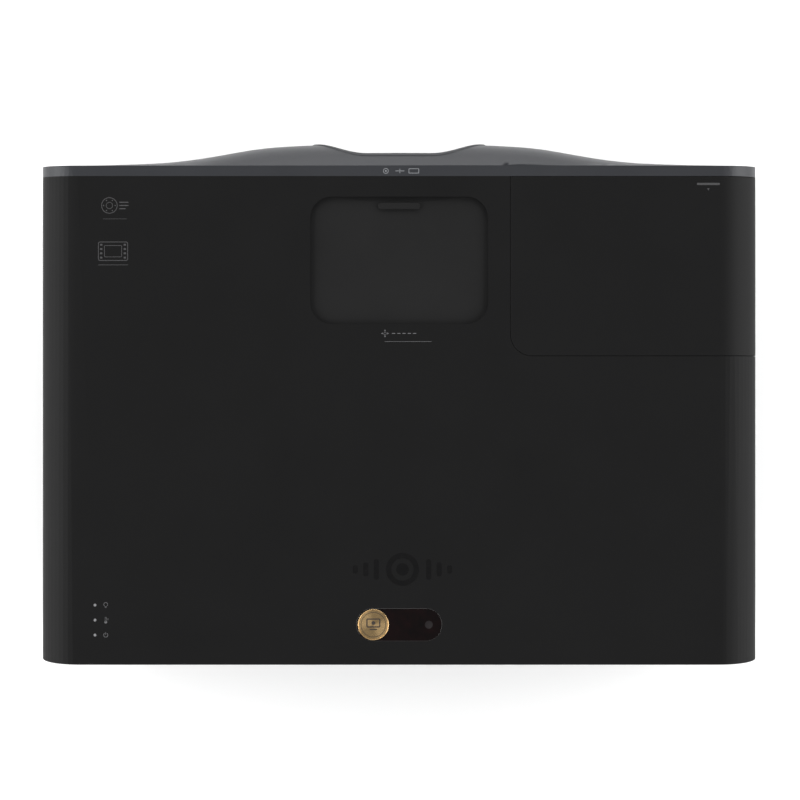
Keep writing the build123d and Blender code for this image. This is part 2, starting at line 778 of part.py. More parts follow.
board_y = engine_back_y
with BuildPart() as dmd_board:
    with BuildSketch(cross_plane(board_y, lens_z)):
        Rectangle(70, 60)
    extrude(amount=-board_thickness)
    with BuildSketch(cross_plane(board_y, lens_z)):
        Rectangle(22, 16)
    extrude(amount=2.5)
finish(dmd_board, "dmd_board")

sink_y = board_y + board_thickness
with BuildPart() as dmd_heatsink:
    with BuildSketch(cross_plane(sink_y, lens_z)):
        Rectangle(52, 46)
    extrude(amount=-4)
    with BuildSketch(cross_plane(sink_y + 4, lens_z)):
        with GridLocations(6.2, 1, 9, 1):
            Rectangle(1.5, 46)
    extrude(amount=-22)
finish(dmd_heatsink, "dmd_heatsink")

# ================================================================ lamp module
lamp_box_low = lens_z - lamp_box_below
lamp_box_high = lens_z + reflector_radius + reflector_gap + lamp_box_wall
lamp_box_back = engine_front_y + 6
lamp_box_front = lamp_box_back - lamp_box_length
hinge_y = lamp_box_back - 8
hinge_z = lamp_box_high + 4.5
with BuildPart() as lamp_housing:
    add(box_between(lamp_outer_x, lamp_inner_x, lamp_box_front, lamp_box_back, lamp_box_low, lamp_box_high))
    add(
        box_between(
            lamp_outer_x + lamp_box_wall,
            lamp_inner_x - lamp_box_wall,
            lamp_box_front + lamp_box_wall,
            lamp_box_back - lamp_box_wall,
            lamp_box_low + lamp_box_wall,
            lamp_box_high - lamp_box_wall,
        ),
        mode=Mode.SUBTRACT,
    )
    # light window, cooling slots and the lugs of the handle
    with BuildSketch(cross_plane(lamp_box_back + 1, lens_z)):
        with Locations((lamp_x, 0)):
            Circle(reflector_radius - 2)
    extrude(amount=lamp_box_wall + 2, mode=Mode.SUBTRACT)
    with BuildSketch(cross_plane(lamp_box_front - 1, lens_z)):
        with Locations((lamp_x, -3)):
            with GridLocations(9, 20, 8, 2):
                SlotOverall(16, 4, rotation=90)
    extrude(amount=-(lamp_box_wall + 2), mode=Mode.SUBTRACT)
    with BuildSketch(side_plane(lamp_x - handle_half - lug_thickness)):
        with Locations((hinge_y, lamp_box_high + 3.5)):
            Rectangle(9, 7)
        with Locations((hinge_y, hinge_z)):
            Circle(handle_wire + running_fit, mode=Mode.SUBTRACT)
    extrude(amount=lug_thickness)
    with BuildSketch(side_plane(lamp_x + handle_half)):
        with Locations((hinge_y, lamp_box_high + 3.5)):
            Rectangle(9, 7)
        with Locations((hinge_y, hinge_z)):
            Circle(handle_wire + running_fit, mode=Mode.SUBTRACT)
    extrude(amount=lug_thickness)
finish(lamp_housing, "lamp_housing")

with BuildPart() as lamp_handle:
    arm = 4.0
    inner_half = handle_half - fit
    with BuildSketch(Plane.XY.offset(hinge_z - arm / 2)):
        with Locations((lamp_x, hinge_y - handle_length / 2 + arm / 2)):
            Rectangle(2 * inner_half, handle_length)
        with Locations((lamp_x, hinge_y - handle_length / 2 + arm / 2 + arm / 2)):
            Rectangle(2 * (inner_half - arm), handle_length - arm, mode=Mode.SUBTRACT)
    extrude(amount=arm)
    for side in (1, -1):
        with BuildSketch(side_plane(lamp_x + side * (inner_half - 1))):
            with Locations((hinge_y, hinge_z)):
                Circle(handle_wire)
        extrude(amount=side * (lug_thickness + 1))
finish(lamp_handle, "lamp_handle")

reflector_mouth = lamp_box_back - lamp_box_wall
reflector_back = reflector_mouth - reflector_length
bulge_x = lamp_x + 0.7 * reflector_radius
bulge_y = reflector_mouth - 0.66 * reflector_length
bulge_wall = 0.75 * reflector_wall
neck_x = lamp_x + reflector_neck
with BuildPart() as lamp_reflector:
    with BuildSketch(Plane.XY.offset(lens_z)):
        with BuildLine():
            rim_x = lamp_x + reflector_radius
            Spline((neck_x, reflector_back), (bulge_x, bulge_y), (rim_x - reflector_wall, reflector_mouth))
            Line((rim_x - reflector_wall, reflector_mouth), (rim_x, reflector_mouth))
            Spline(
                (rim_x, reflector_mouth),
                (bulge_x + bulge_wall, bulge_y - bulge_wall),
                (neck_x, reflector_back - reflector_wall),
            )
            Line((neck_x, reflector_back - reflector_wall), (neck_x, reflector_back))
        make_face()
    revolve(axis=Axis((lamp_x, 0, lens_z), (0, 1, 0)))
    # ceramic neck
    with BuildSketch(cross_plane(reflector_mouth - reflector_length, lens_z)):
        with Locations((lamp_x, 0)):
            Circle(7)
            Circle(4, mode=Mode.SUBTRACT)
    extrude(amount=18)
finish(lamp_reflector, "lamp_reflector")

with BuildPart() as lamp_burner:
    burner_y = reflector_mouth - reflector_length
    with BuildSketch(Plane.XY.offset(lens_z)):
        with BuildLine():
            Polyline(
                (lamp_x, burner_y - 18),
                (lamp_x + 4, burner_y - 18),
                (lamp_x + 4, burner_y - 2),
                (lamp_x + 2.6, burner_y),
                (lamp_x + 2.6, burner_y + 9),
                (lamp_x + 5, burner_y + 14),
                (lamp_x + 2.2, burner_y + 19),
                (lamp_x + 2.2, burner_y + 27),
                (lamp_x, burner_y + 27),
                close=True,
            )
        make_face()
    revolve(axis=Axis((lamp_x, 0, lens_z), (0, 1, 0)))
finish(lamp_burner, "lamp_burner")

# ================================================================ axial fans
fan_front_y = seam_y + fan_setback
fan_bore = fan_size / 2 - 2
for side, frame_name, rotor_name in (
    (1, "intake_fan_frame", "intake_rotor"),
    (-1, "exhaust_fan_frame", "exhaust_rotor"),
):
    fan_x = side * fan_centre
    with BuildPart() as fan_frame:
        with BuildSketch(cross_plane(fan_front_y, lens_z)):
            with Locations((fan_x, 0)):
                RectangleRounded(fan_size, fan_size, 4)
                Circle(fan_bore, mode=Mode.SUBTRACT)
                with GridLocations(fan_size - 9, fan_size - 9, 2, 2):
                    Circle(2.2, mode=Mode.SUBTRACT)
        extrude(amount=-fan_depth)
        # bearing disc and struts at the back
        with BuildSketch(cross_plane(fan_front_y + fan_depth - 3, lens_z)):
            with Locations((fan_x, 0)):
                Circle(hub_radius)
                Rectangle(2 * fan_bore + 1, 4)
                Rectangle(4, 2 * fan_bore + 1)
                Circle(fan_shaft + running_fit, mode=Mode.SUBTRACT)
        extrude(amount=-3)
    finish(fan_frame, frame_name)
    with BuildPart() as rotor:
        hub_length = fan_depth - 5
        with BuildSketch(cross_plane(fan_front_y + 1, lens_z)):
            with Locations((fan_x, 0)):
                Circle(hub_radius - 0.5)
        extrude(amount=-hub_length)
        with BuildSketch(cross_plane(fan_front_y + 1 + hub_length, lens_z)):
            with Locations((fan_x, 0)):
                Circle(fan_shaft)
        extrude(amount=-3.5)
        blade_span = fan_bore - 1 - hub_radius + 2
        for i in range(fan_blades):
            turn = i * 360 / fan_blades
            root = Plane(
                origin=(fan_x, fan_front_y + 1 + hub_length / 2, lens_z),
                x_dir=(0, 1, 0),
                z_dir=(math.cos(math.radians(turn)), 0, math.sin(math.radians(turn))),
            )
            with BuildSketch(root.offset(hub_radius - 2)):
                Rectangle(hub_length - 1, blade_thickness, rotation=blade_pitch)
            extrude(amount=blade_span)
    finish(rotor, rotor_name)

# ================================================================ blower
blower_x = fan_centre + 6
blower_y = recess_back_y + 46
blower_low = floor_z + 10
shaft_radius = 2.0
with BuildPart() as blower_housing:
    with BuildSketch(Plane.XY.offset(blower_low)):
        with Locations((blower_x, blower_y)):
            Circle(blower_radius + 8)
        with Locations((blower_x - blower_radius - 2, blower_y + blower_radius - 6)):
            Rectangle(44, 28)
    extrude(amount=blower_height)
    with BuildSketch(Plane.XY.offset(blower_low + 2)):
        with Locations((blower_x, blower_y)):
            Circle(blower_radius + 6)
        with Locations((blower_x - blower_radius - 4, blower_y + blower_radius - 6)):
            Rectangle(44, 24)
    extrude(amount=blower_height - 4, mode=Mode.SUBTRACT)
    with BuildSketch(Plane.XY.offset(blower_low + blower_height - 3)):
        with Locations((blower_x, blower_y)):
            Circle(blower_radius - 8)
    extrude(amount=4, mode=Mode.SUBTRACT)
    with BuildSketch(Plane.XY.offset(blower_low - 1)):
        with Locations((blower_x, blower_y)):
            Circle(shaft_radius + running_fit)
    extrude(amount=4, mode=Mode.SUBTRACT)
finish(blower_housing, "blower_housing")

with BuildPart() as blower_rotor:
    rotor_low = blower_low + 2 + 1
    rotor_height = blower_height - 7
    with BuildSketch(Plane.XY.offset(rotor_low)):
        with Locations((blower_x, blower_y)):
            Circle(blower_radius)
    extrude(amount=1.6)
    with BuildSketch(Plane.XY.offset(rotor_low)):
        with Locations((blower_x, blower_y)):
            Circle(14)
            with PolarLocations(blower_radius - 5, 24):
                Rectangle(9, 1.2)
    extrude(amount=rotor_height)
    with BuildSketch(Plane.XY.offset(blower_low)):
        with Locations((blower_x, blower_y)):
            Circle(shaft_radius)
    extrude(amount=4)
finish(blower_rotor, "blower_rotor")

# ================================================================ remote window, badge, lights
with BuildPart() as remote_window:
    with BuildSketch(Plane.XY.offset(top_z - pill_thickness)):
        with Locations((0, pill_y)):
            SlotOverall(pill_width, pill_length)
        with Locations((badge_offset, pill_y)):
            Circle(badge_radius, mode=Mode.SUBTRACT)
    extrude(amount=pill_thickness)
finish(remote_window, "remote_window")

with BuildPart() as badge_disc:
    with BuildSketch(Plane.XY.offset(top_z - pill_thickness)):
        with Locations((badge_offset, pill_y)):
            Circle(badge_radius)
    extrude(amount=pill_thickness + badge_proud)
finish(badge_disc, "badge_disc")

with BuildPart() as indicator_lenses:
    with BuildSketch(Plane.XY.offset(ceiling_z)):
        with Locations(*indicator_places):
            Circle(indicator_radius)
    extrude(amount=wall - 0.1)
    with BuildSketch(Plane.XY.offset(ceiling_z - 2)):
        with Locations(*indicator_places):
            Circle(indicator_radius + 1)
    extrude(amount=2)
finish(indicator_lenses, "indicator_lenses")

# ================================================================ side grilles
for side, name in ((1, "side_grille_left"), (-1, "side_grille_right")):
    outside = half_width - side_grille_setback
    with BuildPart() as side_grille:
        start = side_plane(side * outside)
        with BuildSketch(start):
            with Locations((side_grille_y, side_grille_z)):
                RectangleRounded(side_grille_length, side_grille_height, side_grille_corner)
                RectangleRounded(
                    side_grille_length - 2 * frame_bar,
                    side_grille_height - 2 * frame_bar,
                    side_grille_corner - 2,
                    mode=Mode.SUBTRACT,
                )
                with GridLocations(1, side_grille_pitch, 1, 10):
                    Rectangle(side_grille_length - 2, side_grille_bar)
                with GridLocations(side_grille_length / 4, 1, 3, 1):
                    Rectangle(1.6, side_grille_height - 2)
        extrude(amount=-side * side_grille_depth)
    finish(side_grille, name)

# ================================================================ control strip
bezel_face = half_width - strip_depth
bezel_thickness = wall - strip_depth
# name, offset along the strip, height from its middle, length, height
key_table = (
    ("power_key", 0.0, 25.0, 9.0, 9.0),
    ("source_key", 0.0, 13.0, 12.0, 5.5),
    ("menu_key", 0.0, 3.5, 12.0, 5.5),
    ("up_key", 0.0, -6.0, 5.6, 4.6),
    ("down_key", 0.0, -24.0, 5.6, 4.6),
    ("left_key", -6.4, -15.0, 4.0, 6.0),
    ("right_key", 6.4, -15.0, 4.0, 6.0),
    ("select_key", 0.0, -15.0, 6.0, 6.0),
)
with BuildPart() as keypad_bezel:
    with BuildSketch(side_plane(bezel_face)):
        with Locations((strip_y, strip_z)):
            RectangleRounded(strip_length, strip_height, strip_corner)
        for key_name, along, up, length, height in key_table:
            hole = (length + 2 * key_gap, height + 2 * key_gap, key_rounding)
            with Locations((strip_y + along, strip_z + up)):
                RectangleRounded(*hole, mode=Mode.SUBTRACT)
    extrude(amount=-bezel_thickness)
    # key board behind the strip, on four short posts
    board_face = bezel_face - bezel_thickness - key_depth - 2
    with BuildSketch(side_plane(board_face)):
        with Locations((strip_y, strip_z)):
            Rectangle(strip_length - 3, strip_height - 3)
    extrude(amount=-board_thickness)
    with BuildSketch(side_plane(bezel_face - bezel_thickness)):
        with Locations((strip_y, strip_z)):
            with GridLocations(strip_length - 6, strip_height - 6, 2, 2):
                Circle(1.2)
    extrude(amount=-(key_depth + 2))
finish(keypad_bezel, "keypad_bezel")

for key_name, along, up, length, height in key_table:
    with BuildPart() as key:
        with BuildSketch(side_plane(bezel_face + key_proud)):
            with Locations((strip_y + along, strip_z + up)):
                RectangleRounded(length, height, key_rounding)
        extrude(amount=-(key_depth + 1))
        # flange that stops the key behind the bezel
        with BuildSketch(side_plane(bezel_face - bezel_thickness - 0.1)):
            with Locations((strip_y + along, strip_z + up)):
                RectangleRounded(length + 2 * key_flange, height + 2 * key_flange, key_rounding)
        extrude(amount=-1.2)
    finish(key, key_name)

# ================================================================ rear panel and sockets
# name, place across, width, height of the openings, seen from behind
metal_table = (
    ("hdmi", -12.0, 15.0, 5.6),
    ("hdmi", 16.0, 15.0, 5.6),
    ("usb", 42.0, 13.2, 5.8),
    ("network", 68.0, 16.0, 13.4),
    ("serial", 102.0, 31.0, 11.0),
)
jack_table = (
    ("trigger", 132.0, 1.8),
    ("audio", 148.0, 1.8),
    ("optical", 164.0, 3.2),
)
inlet_x = -150.0
inlet_width = 27.4
inlet_height = 19.8
socket_depth = 14.0
socket_metal = 0.8
jack_wall = 1.6
socket_setback = 0.2          # socket mouths behind the panel's face
panel_front = rear_panel_inset + rear_panel_thickness
panel_screws = [(side * (half_width - panel_screw_inset), row) for side in (-1, 1) for row in (30, -38)]
with BuildPart() as rear_panel:
    extrude(case_section(wall, rear_y - 60), amount=-80)
    split(bisect_by=rear_plane(rear_panel_inset), keep=Keep.BOTTOM)
    split(bisect_by=rear_plane(panel_front), keep=Keep.TOP)
    cut_plane = rear_plane(panel_front + 1)
    with BuildSketch(cut_plane):
        for socket, across, width, height in metal_table:
            with Locations((across, socket_row)):
                Rectangle(width + 2 * socket_metal, height + 2 * socket_metal)
        for socket, across, radius in jack_table:
            with Locations((across, socket_row)):
                Circle(radius + jack_wall)
        with Locations((inlet_x, socket_row)):
            Rectangle(inlet_width + 3, inlet_height + 3)
        with Locations(*panel_screws):
            Circle(screw_radius)
        # air slots
        with Locations((0, air_slot_row)):
            with GridLocations(air_slot_pitch, 1, air_slot_count, 1):
                SlotOverall(air_slot_length, air_slot_width, rotation=90)
    extrude(amount=rear_panel_thickness + 2, mode=Mode.SUBTRACT)
finish(rear_panel, "rear_panel")

with BuildPart() as metal_sockets:
    back = rear_plane(rear_panel_inset + socket_setback)
    for socket, across, width, height in metal_table:
        with BuildSketch(back):
            with Locations((across, socket_row)):
                Rectangle(width + 2 * socket_metal, height + 2 * socket_metal)
        extrude(amount=-socket_depth)
        with BuildSketch(back):
            with Locations((across, socket_row)):
                Rectangle(width, height)
        extrude(amount=-(socket_depth - socket_metal), mode=Mode.SUBTRACT)
        if height < 8:
            # contact tongue
            with BuildSketch(back.offset(-2)):
                with Locations((across, socket_row)):
                    Rectangle(width - 4, 1.4)
            extrude(amount=-(socket_depth - 2))
finish(metal_sockets, "metal_sockets")

with BuildPart() as jack_sockets:
    back = rear_plane(rear_panel_inset + socket_setback)
    for socket, across, radius in jack_table:
        with BuildSketch(back):
            with Locations((across, socket_row)):
                Circle(radius + jack_wall)
                Circle(radius, mode=Mode.SUBTRACT)
        extrude(amount=-socket_depth)
        with BuildSketch(back.offset(-panel_front)):
            with Locations((across, socket_row)):
                Rectangle(2 * radius + 5, 2 * radius + 5)
                Circle(radius, mode=Mode.SUBTRACT)
        extrude(amount=-(socket_depth - panel_front))
        with BuildSketch(back.offset(-socket_depth)):
            with Locations((across, socket_row)):
                Rectangle(2 * radius + 5, 2 * radius + 5)
        extrude(amount=-1.5)
finish(jack_sockets, "jack_sockets")

with BuildPart() as ac_inlet:
    back = rear_plane(rear_panel_inset + socket_setback)
    with BuildSketch(back):
        with Locations((inlet_x, socket_row)):
            Rectangle(inlet_width + 3, inlet_height + 3)
            RectangleRounded(inlet_width, inlet_height, 3, mode=Mode.SUBTRACT)
    extrude(amount=-22)
    with BuildSketch(back.offset(-22)):
        with Locations((inlet_x, socket_row)):
            Rectangle(inlet_width + 3, inlet_height + 3)
    extrude(amount=-2)
    # three contact blades
    with BuildSketch(back.offset(-6)):
        with Locations((inlet_x, socket_row)):
            with Locations((-7, 2.5), (0, -2.5), (7, 2.5)):
                Rectangle(2, 4)
    extrude(amount=-16.5)
finish(ac_inlet, "ac_inlet")

# ================================================================ boards
main_low = floor_z + board_lift
board_rear = rear_y - (top_z - main_low) * lean - panel_front - 1.5
main_left = half_width - post_inset - post_radius - board_gap
main_right = -70.0
main_front = engine_back_y + 34
with BuildPart() as main_board:
    add(box_between(main_right, main_left, main_front, board_rear, main_low, main_low + board_thickness))
    chip_top = main_low + board_thickness
    chip_y = (main_front + board_rear) / 2 - 4
    for i, (size, tall) in enumerate(((22, 3), (15, 2), (15, 2), (12, 6), (18, 9))):
        chip_x = main_right + 24 + i * 32
        add(box_between(chip_x, chip_x + size, chip_y, chip_y + size, chip_top, chip_top + tall))
finish(main_board, "main_board")

power_left = main_right - 8
power_right = -main_left
power_low = floor_z + power_lift
power_rear = board_rear - 6
with BuildPart() as power_board:
    part_low = power_low + board_thickness
    add(box_between(power_right, power_left, main_front, power_rear, power_low, part_low))
    # transformer and choke, each with its place, sizes and height
    for x, y, width, depth, tall in ((power_right + 12, 6, 28, 28, 26), (power_left - 34, 8, 26, 22, 20)):
        front = main_front + y
        add(box_between(x, x + width, front, front + depth, part_low, part_low + tall))
    with BuildSketch(Plane.XY.offset(part_low)):
        with Locations(((power_right + power_left) / 2, main_front + 18)):
            with GridLocations(24, 1, 2, 1):
                Circle(9)
    extrude(amount=30)
finish(power_board, "power_board")

ballast_x = engine_left_x + 20
ballast_far = half_width - wall - 30
ballast_front = blower_y + blower_radius + 14
ballast_low = floor_z + 8
with BuildPart() as lamp_ballast:
    add(box_between(ballast_x, ballast_far, ballast_front, engine_back_y, ballast_low, ballast_low + 30))
    for i in range(5):
        fin_x = ballast_x + 14 + i * 24
        add(box_between(fin_x, fin_x + 3, ballast_front, engine_back_y, ballast_low + 30, ballast_low + 44))
finish(lamp_ballast, "lamp_ballast")

# ================================================================ bottom case
foot_places = {
    "foot_front_left": (half_width - foot_inset_x, front_y + foot_inset_front),
    "foot_front_right": (-half_width + foot_inset_x, front_y + foot_inset_front),
    "foot_rear_left": (half_width - foot_inset_x, rear_y - foot_inset_rear),
    "foot_rear_right": (-half_width + foot_inset_x, rear_y - foot_inset_rear),
}
foot_boss_radius = 8.0
foot_boss_height = 6.0
mount_centre_y = 10.0
mount_boss_radius = 6.0
# supports: x, y, top height, radius
supports = []
for x in (main_right + 8, (main_right + main_left) / 2, main_left - 8):
    supports.append((x, main_front + 5, main_low, 3.5))
for x in (power_right + 6, power_left - 6):
    supports.append((x, main_front + 4, power_low, 3.5))
for x in (ballast_x + 8, ballast_far - 8):
    supports.append((x, ballast_front + 8, ballast_low, 5.0))
    supports.append((x, engine_back_y - 8, ballast_low, 5.0))
for x in (engine_right_x + 8, engine_left_x - 8):
    supports.append((x, engine_back_y - 8, engine_low, 6.0))
for x in (lamp_inner_x - 10, lamp_outer_x + 10):
    supports.append((x, lamp_box_front + 10, lamp_box_low, 6.0))
    supports.append((x, lamp_box_back - 10, lamp_box_low, 6.0))
for x in (blower_x - 20, blower_x + 20):
    supports.append((x, blower_y, blower_low, 4.0))
for side in (1, -1):
    for step in (-30, 30):
        supports.append((side * fan_centre + step, fan_front_y + fan_depth / 2, lens_z - fan_size / 2, 5.0))

with BuildPart() as bottom_case:
    add(case_tube.part)
    split(bisect_by=Plane.XY.offset(parting_z), keep=Keep.BOTTOM)
    for x, y, height, radius in supports:
        with BuildSketch(Plane.XY.offset(floor_z)):
            with Locations((x, y)):
                Circle(radius)
        extrude(amount=height - floor_z)
    with BuildSketch(Plane.XY.offset(floor_z)):
        with Locations(*post_places):
            Circle(post_radius)
    extrude(amount=parting_z - floor_z)
    with BuildSketch(Plane.XY.offset(floor_z)):
        with Locations(*foot_places.values()):
            Circle(foot_boss_radius)
    extrude(amount=foot_boss_height)
    with BuildSketch(Plane.XY.offset(bottom_z)):
        with Locations((0, mount_centre_y)):
            with GridLocations(mount_spacing_x, mount_spacing_y, 2, 2):
                Circle(mount_boss_radius)
    extrude(amount=mount_depth + 2)
    with BuildSketch(Plane.XY.offset(bottom_z - 1)):
        with Locations((0, mount_centre_y)):
            with GridLocations(mount_spacing_x, mount_spacing_y, 2, 2):
                Circle(mount_bore)
    extrude(amount=mount_depth + 1, mode=Mode.SUBTRACT)
    with BuildSketch(Plane.XY.offset(bottom_z - 1)):
        with Locations(*foot_places.values()):
            Circle(foot_stem_radius + running_fit)
        with Locations(*post_places):
            Circle(screw_radius)
    extrude(amount=parting_z, mode=Mode.SUBTRACT)
    with BuildSketch(Plane.XY.offset(bottom_z - 1)):
        with Locations(*post_places):
            Circle(screw_radius + 1.8)
    extrude(amount=4, mode=Mode.SUBTRACT)
    # intake slots under the blower
    with BuildSketch(Plane.XY.offset(bottom_z - 1)):
        with Locations((blower_x, blower_y)):
            with GridLocations(6, 1, 9, 1):
                SlotOverall(44, 2.6, rotation=90)
    extrude(amount=wall + 1.5, mode=Mode.SUBTRACT)
finish(bottom_case, "bottom_case")

# ================================================================ feet and screws
for name, (x, y) in foot_places.items():
    with BuildPart() as foot:
        with BuildSketch(Plane.XY):
            with Locations((x, y)):
                Circle(foot_radius)
        extrude(amount=foot_pad)
        with BuildSketch(Plane.XY.offset(foot_pad)):
            with Locations((x, y)):
                Circle(foot_stem_radius)
        extrude(amount=foot_stem_length)
    finish(foot, name)

with BuildPart() as case_screws:
    with BuildSketch(Plane.XY.offset(bottom_z + 0.6)):
        with Locations(*post_places):
            Circle(screw_radius + 1.7)
    extrude(amount=2.4)
    with BuildSketch(Plane.XY.offset(bottom_z + 3)):
        with Locations(*post_places):
            Circle(screw_radius)
    extrude(amount=parting_z - bottom_z + 9)
    with BuildSketch(rear_plane(rear_panel_inset)):
        with Locations(*panel_screws):
            Circle(screw_radius + 1.2)
    extrude(amount=0.9)
    with BuildSketch(rear_plane(rear_panel_inset)):
        with Locations(*panel_screws):
            Circle(screw_radius)
    extrude(amount=-8)
finish(case_screws, "case_screws")

print("door travel", round(slide_travel, 1))
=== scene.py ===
"""Looks of a home cinema projector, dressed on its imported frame.

Everything is in metres, +Z up, and the lens looks along -Y.
"""

import json
import logging
import math
from collections.abc import Callable, Sequence
from dataclasses import dataclass, field
from enum import Enum

import bmesh
import bpy
from mathutils import Matrix, Vector


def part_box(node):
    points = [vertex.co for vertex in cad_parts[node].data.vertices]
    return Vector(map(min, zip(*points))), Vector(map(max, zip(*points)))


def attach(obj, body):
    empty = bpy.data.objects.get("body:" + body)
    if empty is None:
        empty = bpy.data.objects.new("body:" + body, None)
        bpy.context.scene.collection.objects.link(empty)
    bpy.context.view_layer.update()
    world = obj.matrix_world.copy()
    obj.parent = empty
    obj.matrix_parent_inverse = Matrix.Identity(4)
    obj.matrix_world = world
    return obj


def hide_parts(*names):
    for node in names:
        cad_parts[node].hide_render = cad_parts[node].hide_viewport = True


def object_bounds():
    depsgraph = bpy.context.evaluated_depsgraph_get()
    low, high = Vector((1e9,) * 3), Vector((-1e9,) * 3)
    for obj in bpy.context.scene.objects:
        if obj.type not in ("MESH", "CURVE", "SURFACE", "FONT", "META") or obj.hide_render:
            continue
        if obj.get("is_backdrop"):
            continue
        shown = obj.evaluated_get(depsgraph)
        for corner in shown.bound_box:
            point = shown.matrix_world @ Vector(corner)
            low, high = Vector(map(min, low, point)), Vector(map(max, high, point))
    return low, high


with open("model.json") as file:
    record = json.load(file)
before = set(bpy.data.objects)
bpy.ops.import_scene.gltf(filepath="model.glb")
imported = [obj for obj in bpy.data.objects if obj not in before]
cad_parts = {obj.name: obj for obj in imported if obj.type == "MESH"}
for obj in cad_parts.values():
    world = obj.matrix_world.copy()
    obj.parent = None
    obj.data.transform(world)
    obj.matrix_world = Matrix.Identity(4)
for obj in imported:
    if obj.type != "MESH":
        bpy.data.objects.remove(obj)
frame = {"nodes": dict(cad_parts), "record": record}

log = logging.getLogger("projector")
MM = 0.001
NODE_BODY: dict[str, str] = {
    node: body for body, nodes in frame["record"]["behaviour"]["bodies"].items() for node in nodes
}
NODE_SLOT: dict[str, str] = {part["node"]: part["material_slot"] for part in frame["record"]["subparts"]}


# ---------------------------------------------------------------------------- node trees
class Wire:
    """One shader socket that takes part in Python arithmetic."""

    def __init__(self, graph: "Graph", socket: bpy.types.NodeSocket) -> None:
        """Wrap a socket.

        Args:
            graph: The graph that the socket belongs to.
            socket: An output socket.
        """
        self.graph = graph
        self.socket = socket

    def _math(self, operation: str, first: "Wire | float", second: "Wire | float") -> "Wire":
        """Add one Math node.

        Args:
            operation: The Math node's operation.
            first: The first value.
            second: The second value.

        Returns:
            The node's result.
        """
        return self.graph.add("ShaderNodeMath", {"operation": operation}, {0: first, 1: second})

    def __add__(self, other: "Wire | float") -> "Wire":
        """Sum."""
        return self._math("ADD", self, other)

    def __radd__(self, other: float) -> "Wire":
        """Sum, reflected."""
        return self._math("ADD", other, self)

    def __sub__(self, other: "Wire | float") -> "Wire":
        """Difference."""
        return self._math("SUBTRACT", self, other)

    def __rsub__(self, other: float) -> "Wire":
        """Difference, reflected."""
        return self._math("SUBTRACT", other, self)

    def __mul__(self, other: "Wire | float") -> "Wire":
        """Product."""
        return self._math("MULTIPLY", self, other)

    def __rmul__(self, other: float) -> "Wire":
        """Product, reflected."""
        return self._math("MULTIPLY", other, self)

    def __truediv__(self, other: "Wire | float") -> "Wire":
        """Quotient."""
        return self._math("DIVIDE", self, other)

    def __rtruediv__(self, other: float) -> "Wire":
        """Quotient, reflected."""
        return self._math("DIVIDE", other, self)

    def __pow__(self, other: "Wire | float") -> "Wire":
        """Power."""
        return self._math("POWER", self, other)

    def __rpow__(self, other: float) -> "Wire":
        """Power, reflected."""
        return self._math("POWER", other, self)


class Graph:
    """A material's node tree with one method for every node that isn't arithmetic."""

    def __init__(self, name: str) -> None:
        """Start an empty material.

        Args:
            name: The material's name.
        """
        self.material = bpy.data.materials.new(name)
        self.material.use_nodes = True
        self.tree = self.material.node_tree
        self.tree.nodes.clear()

    def add(
        self,
        kind: str,
        settings: dict | None = None,
        inputs: dict | None = None,
        out: str | int = 0,
    ) -> Wire:
        """Add one node.

        Args:
            kind: The node's type.
            settings: Its properties, set before its sockets; "stops" fills a colour ramp.
            inputs: Socket name or index to a value or a wire.
            out: The output wanted.

        Returns:
            The wanted output.
        """
        node = self.tree.nodes.new(kind)
        for key, value in (settings or {}).items():
            if key == "stops":
                self._fill_ramp(node, value)
            else:
                setattr(node, key, value)
        for key, value in (inputs or {}).items():
            if isinstance(value, Wire):
                self.tree.links.new(value.socket, node.inputs[key])
            else:
                node.inputs[key].default_value = value
        return Wire(self, node.outputs[out]) if len(node.outputs) else Wire(self, node.inputs[0])

    @staticmethod
    def _fill_ramp(node: bpy.types.Node, stops: Sequence[tuple[float, tuple[float, ...]]]) -> None:
        """Set a colour ramp's stops.

        Args:
            node: The ramp node.
            stops: Position and colour of each stop.
        """
        elements = node.color_ramp.elements
        while len(elements) < len(stops):
            elements.new(0.5)
        for element, (place, colour) in zip(elements, stops):
            element.position = place
            element.color = (*colour[:3], 1.0)

    def place(self) -> Wire:
        """Object coordinates, in metres."""
        return self.add("ShaderNodeTexCoord", out="Object")

    def noise(self, grain: float, detail: float = 2.0, stretch: Vector | None = None) -> Wire:
        """Noise whose features are about grain metres across.

        Args:
            grain: Feature size in metres.
            detail: Octaves.
            stretch: Scale per axis, for grain that runs one way.

        Returns:
            The noise, between 0 and 1.
        """
        place = self.place()
        if stretch is not None:
            place = self.add("ShaderNodeMapping", None, {"Vector": place, "Scale": stretch})
        sockets = {"Vector": place, "Scale": 1.0 / grain, "Detail": detail, "Roughness": 0.55}
        return self.add("ShaderNodeTexNoise", None, sockets)

    def tint(self, factor: Wire, low: Sequence[float], high: Sequence[float]) -> Wire:
        """Blend between two colours.

        Args:
            factor: Where between the two.
            low: Colour at 0.
            high: Colour at 1.

        Returns:
            The blended colour.
        """
        return self.add(
            "ShaderNodeValToRGB", {"stops": ((0.3, tuple(low)), (0.7, tuple(high)))}, {"Fac": factor}
        )

    def bump(self, height: Wire, depth: float, strength: float = 1.0, below: Wire | None = None) -> Wire:
        """Turn a height into a normal.

        Args:
            height: Height, 0 to 1.
            depth: What a height of 1 stands for, in metres.
            strength: How strongly it shows.
            below: A normal to start from.

        Returns:
            The normal.
        """
        sockets: dict = {"Strength": strength, "Distance": depth, "Height": height}
        if below is not None:
            sockets["Normal"] = below
        return self.add("ShaderNodeBump", None, sockets)

    def surface(self, sockets: dict) -> bpy.types.Material:
        """Close the tree with a principled surface.

        Args:
            sockets: The surface's sockets.

        Returns:
            The finished material.
        """
        shade = self.add("ShaderNodeBsdfPrincipled", None, sockets)
        self.add("ShaderNodeOutputMaterial", None, {"Surface": shade})
        return self.material


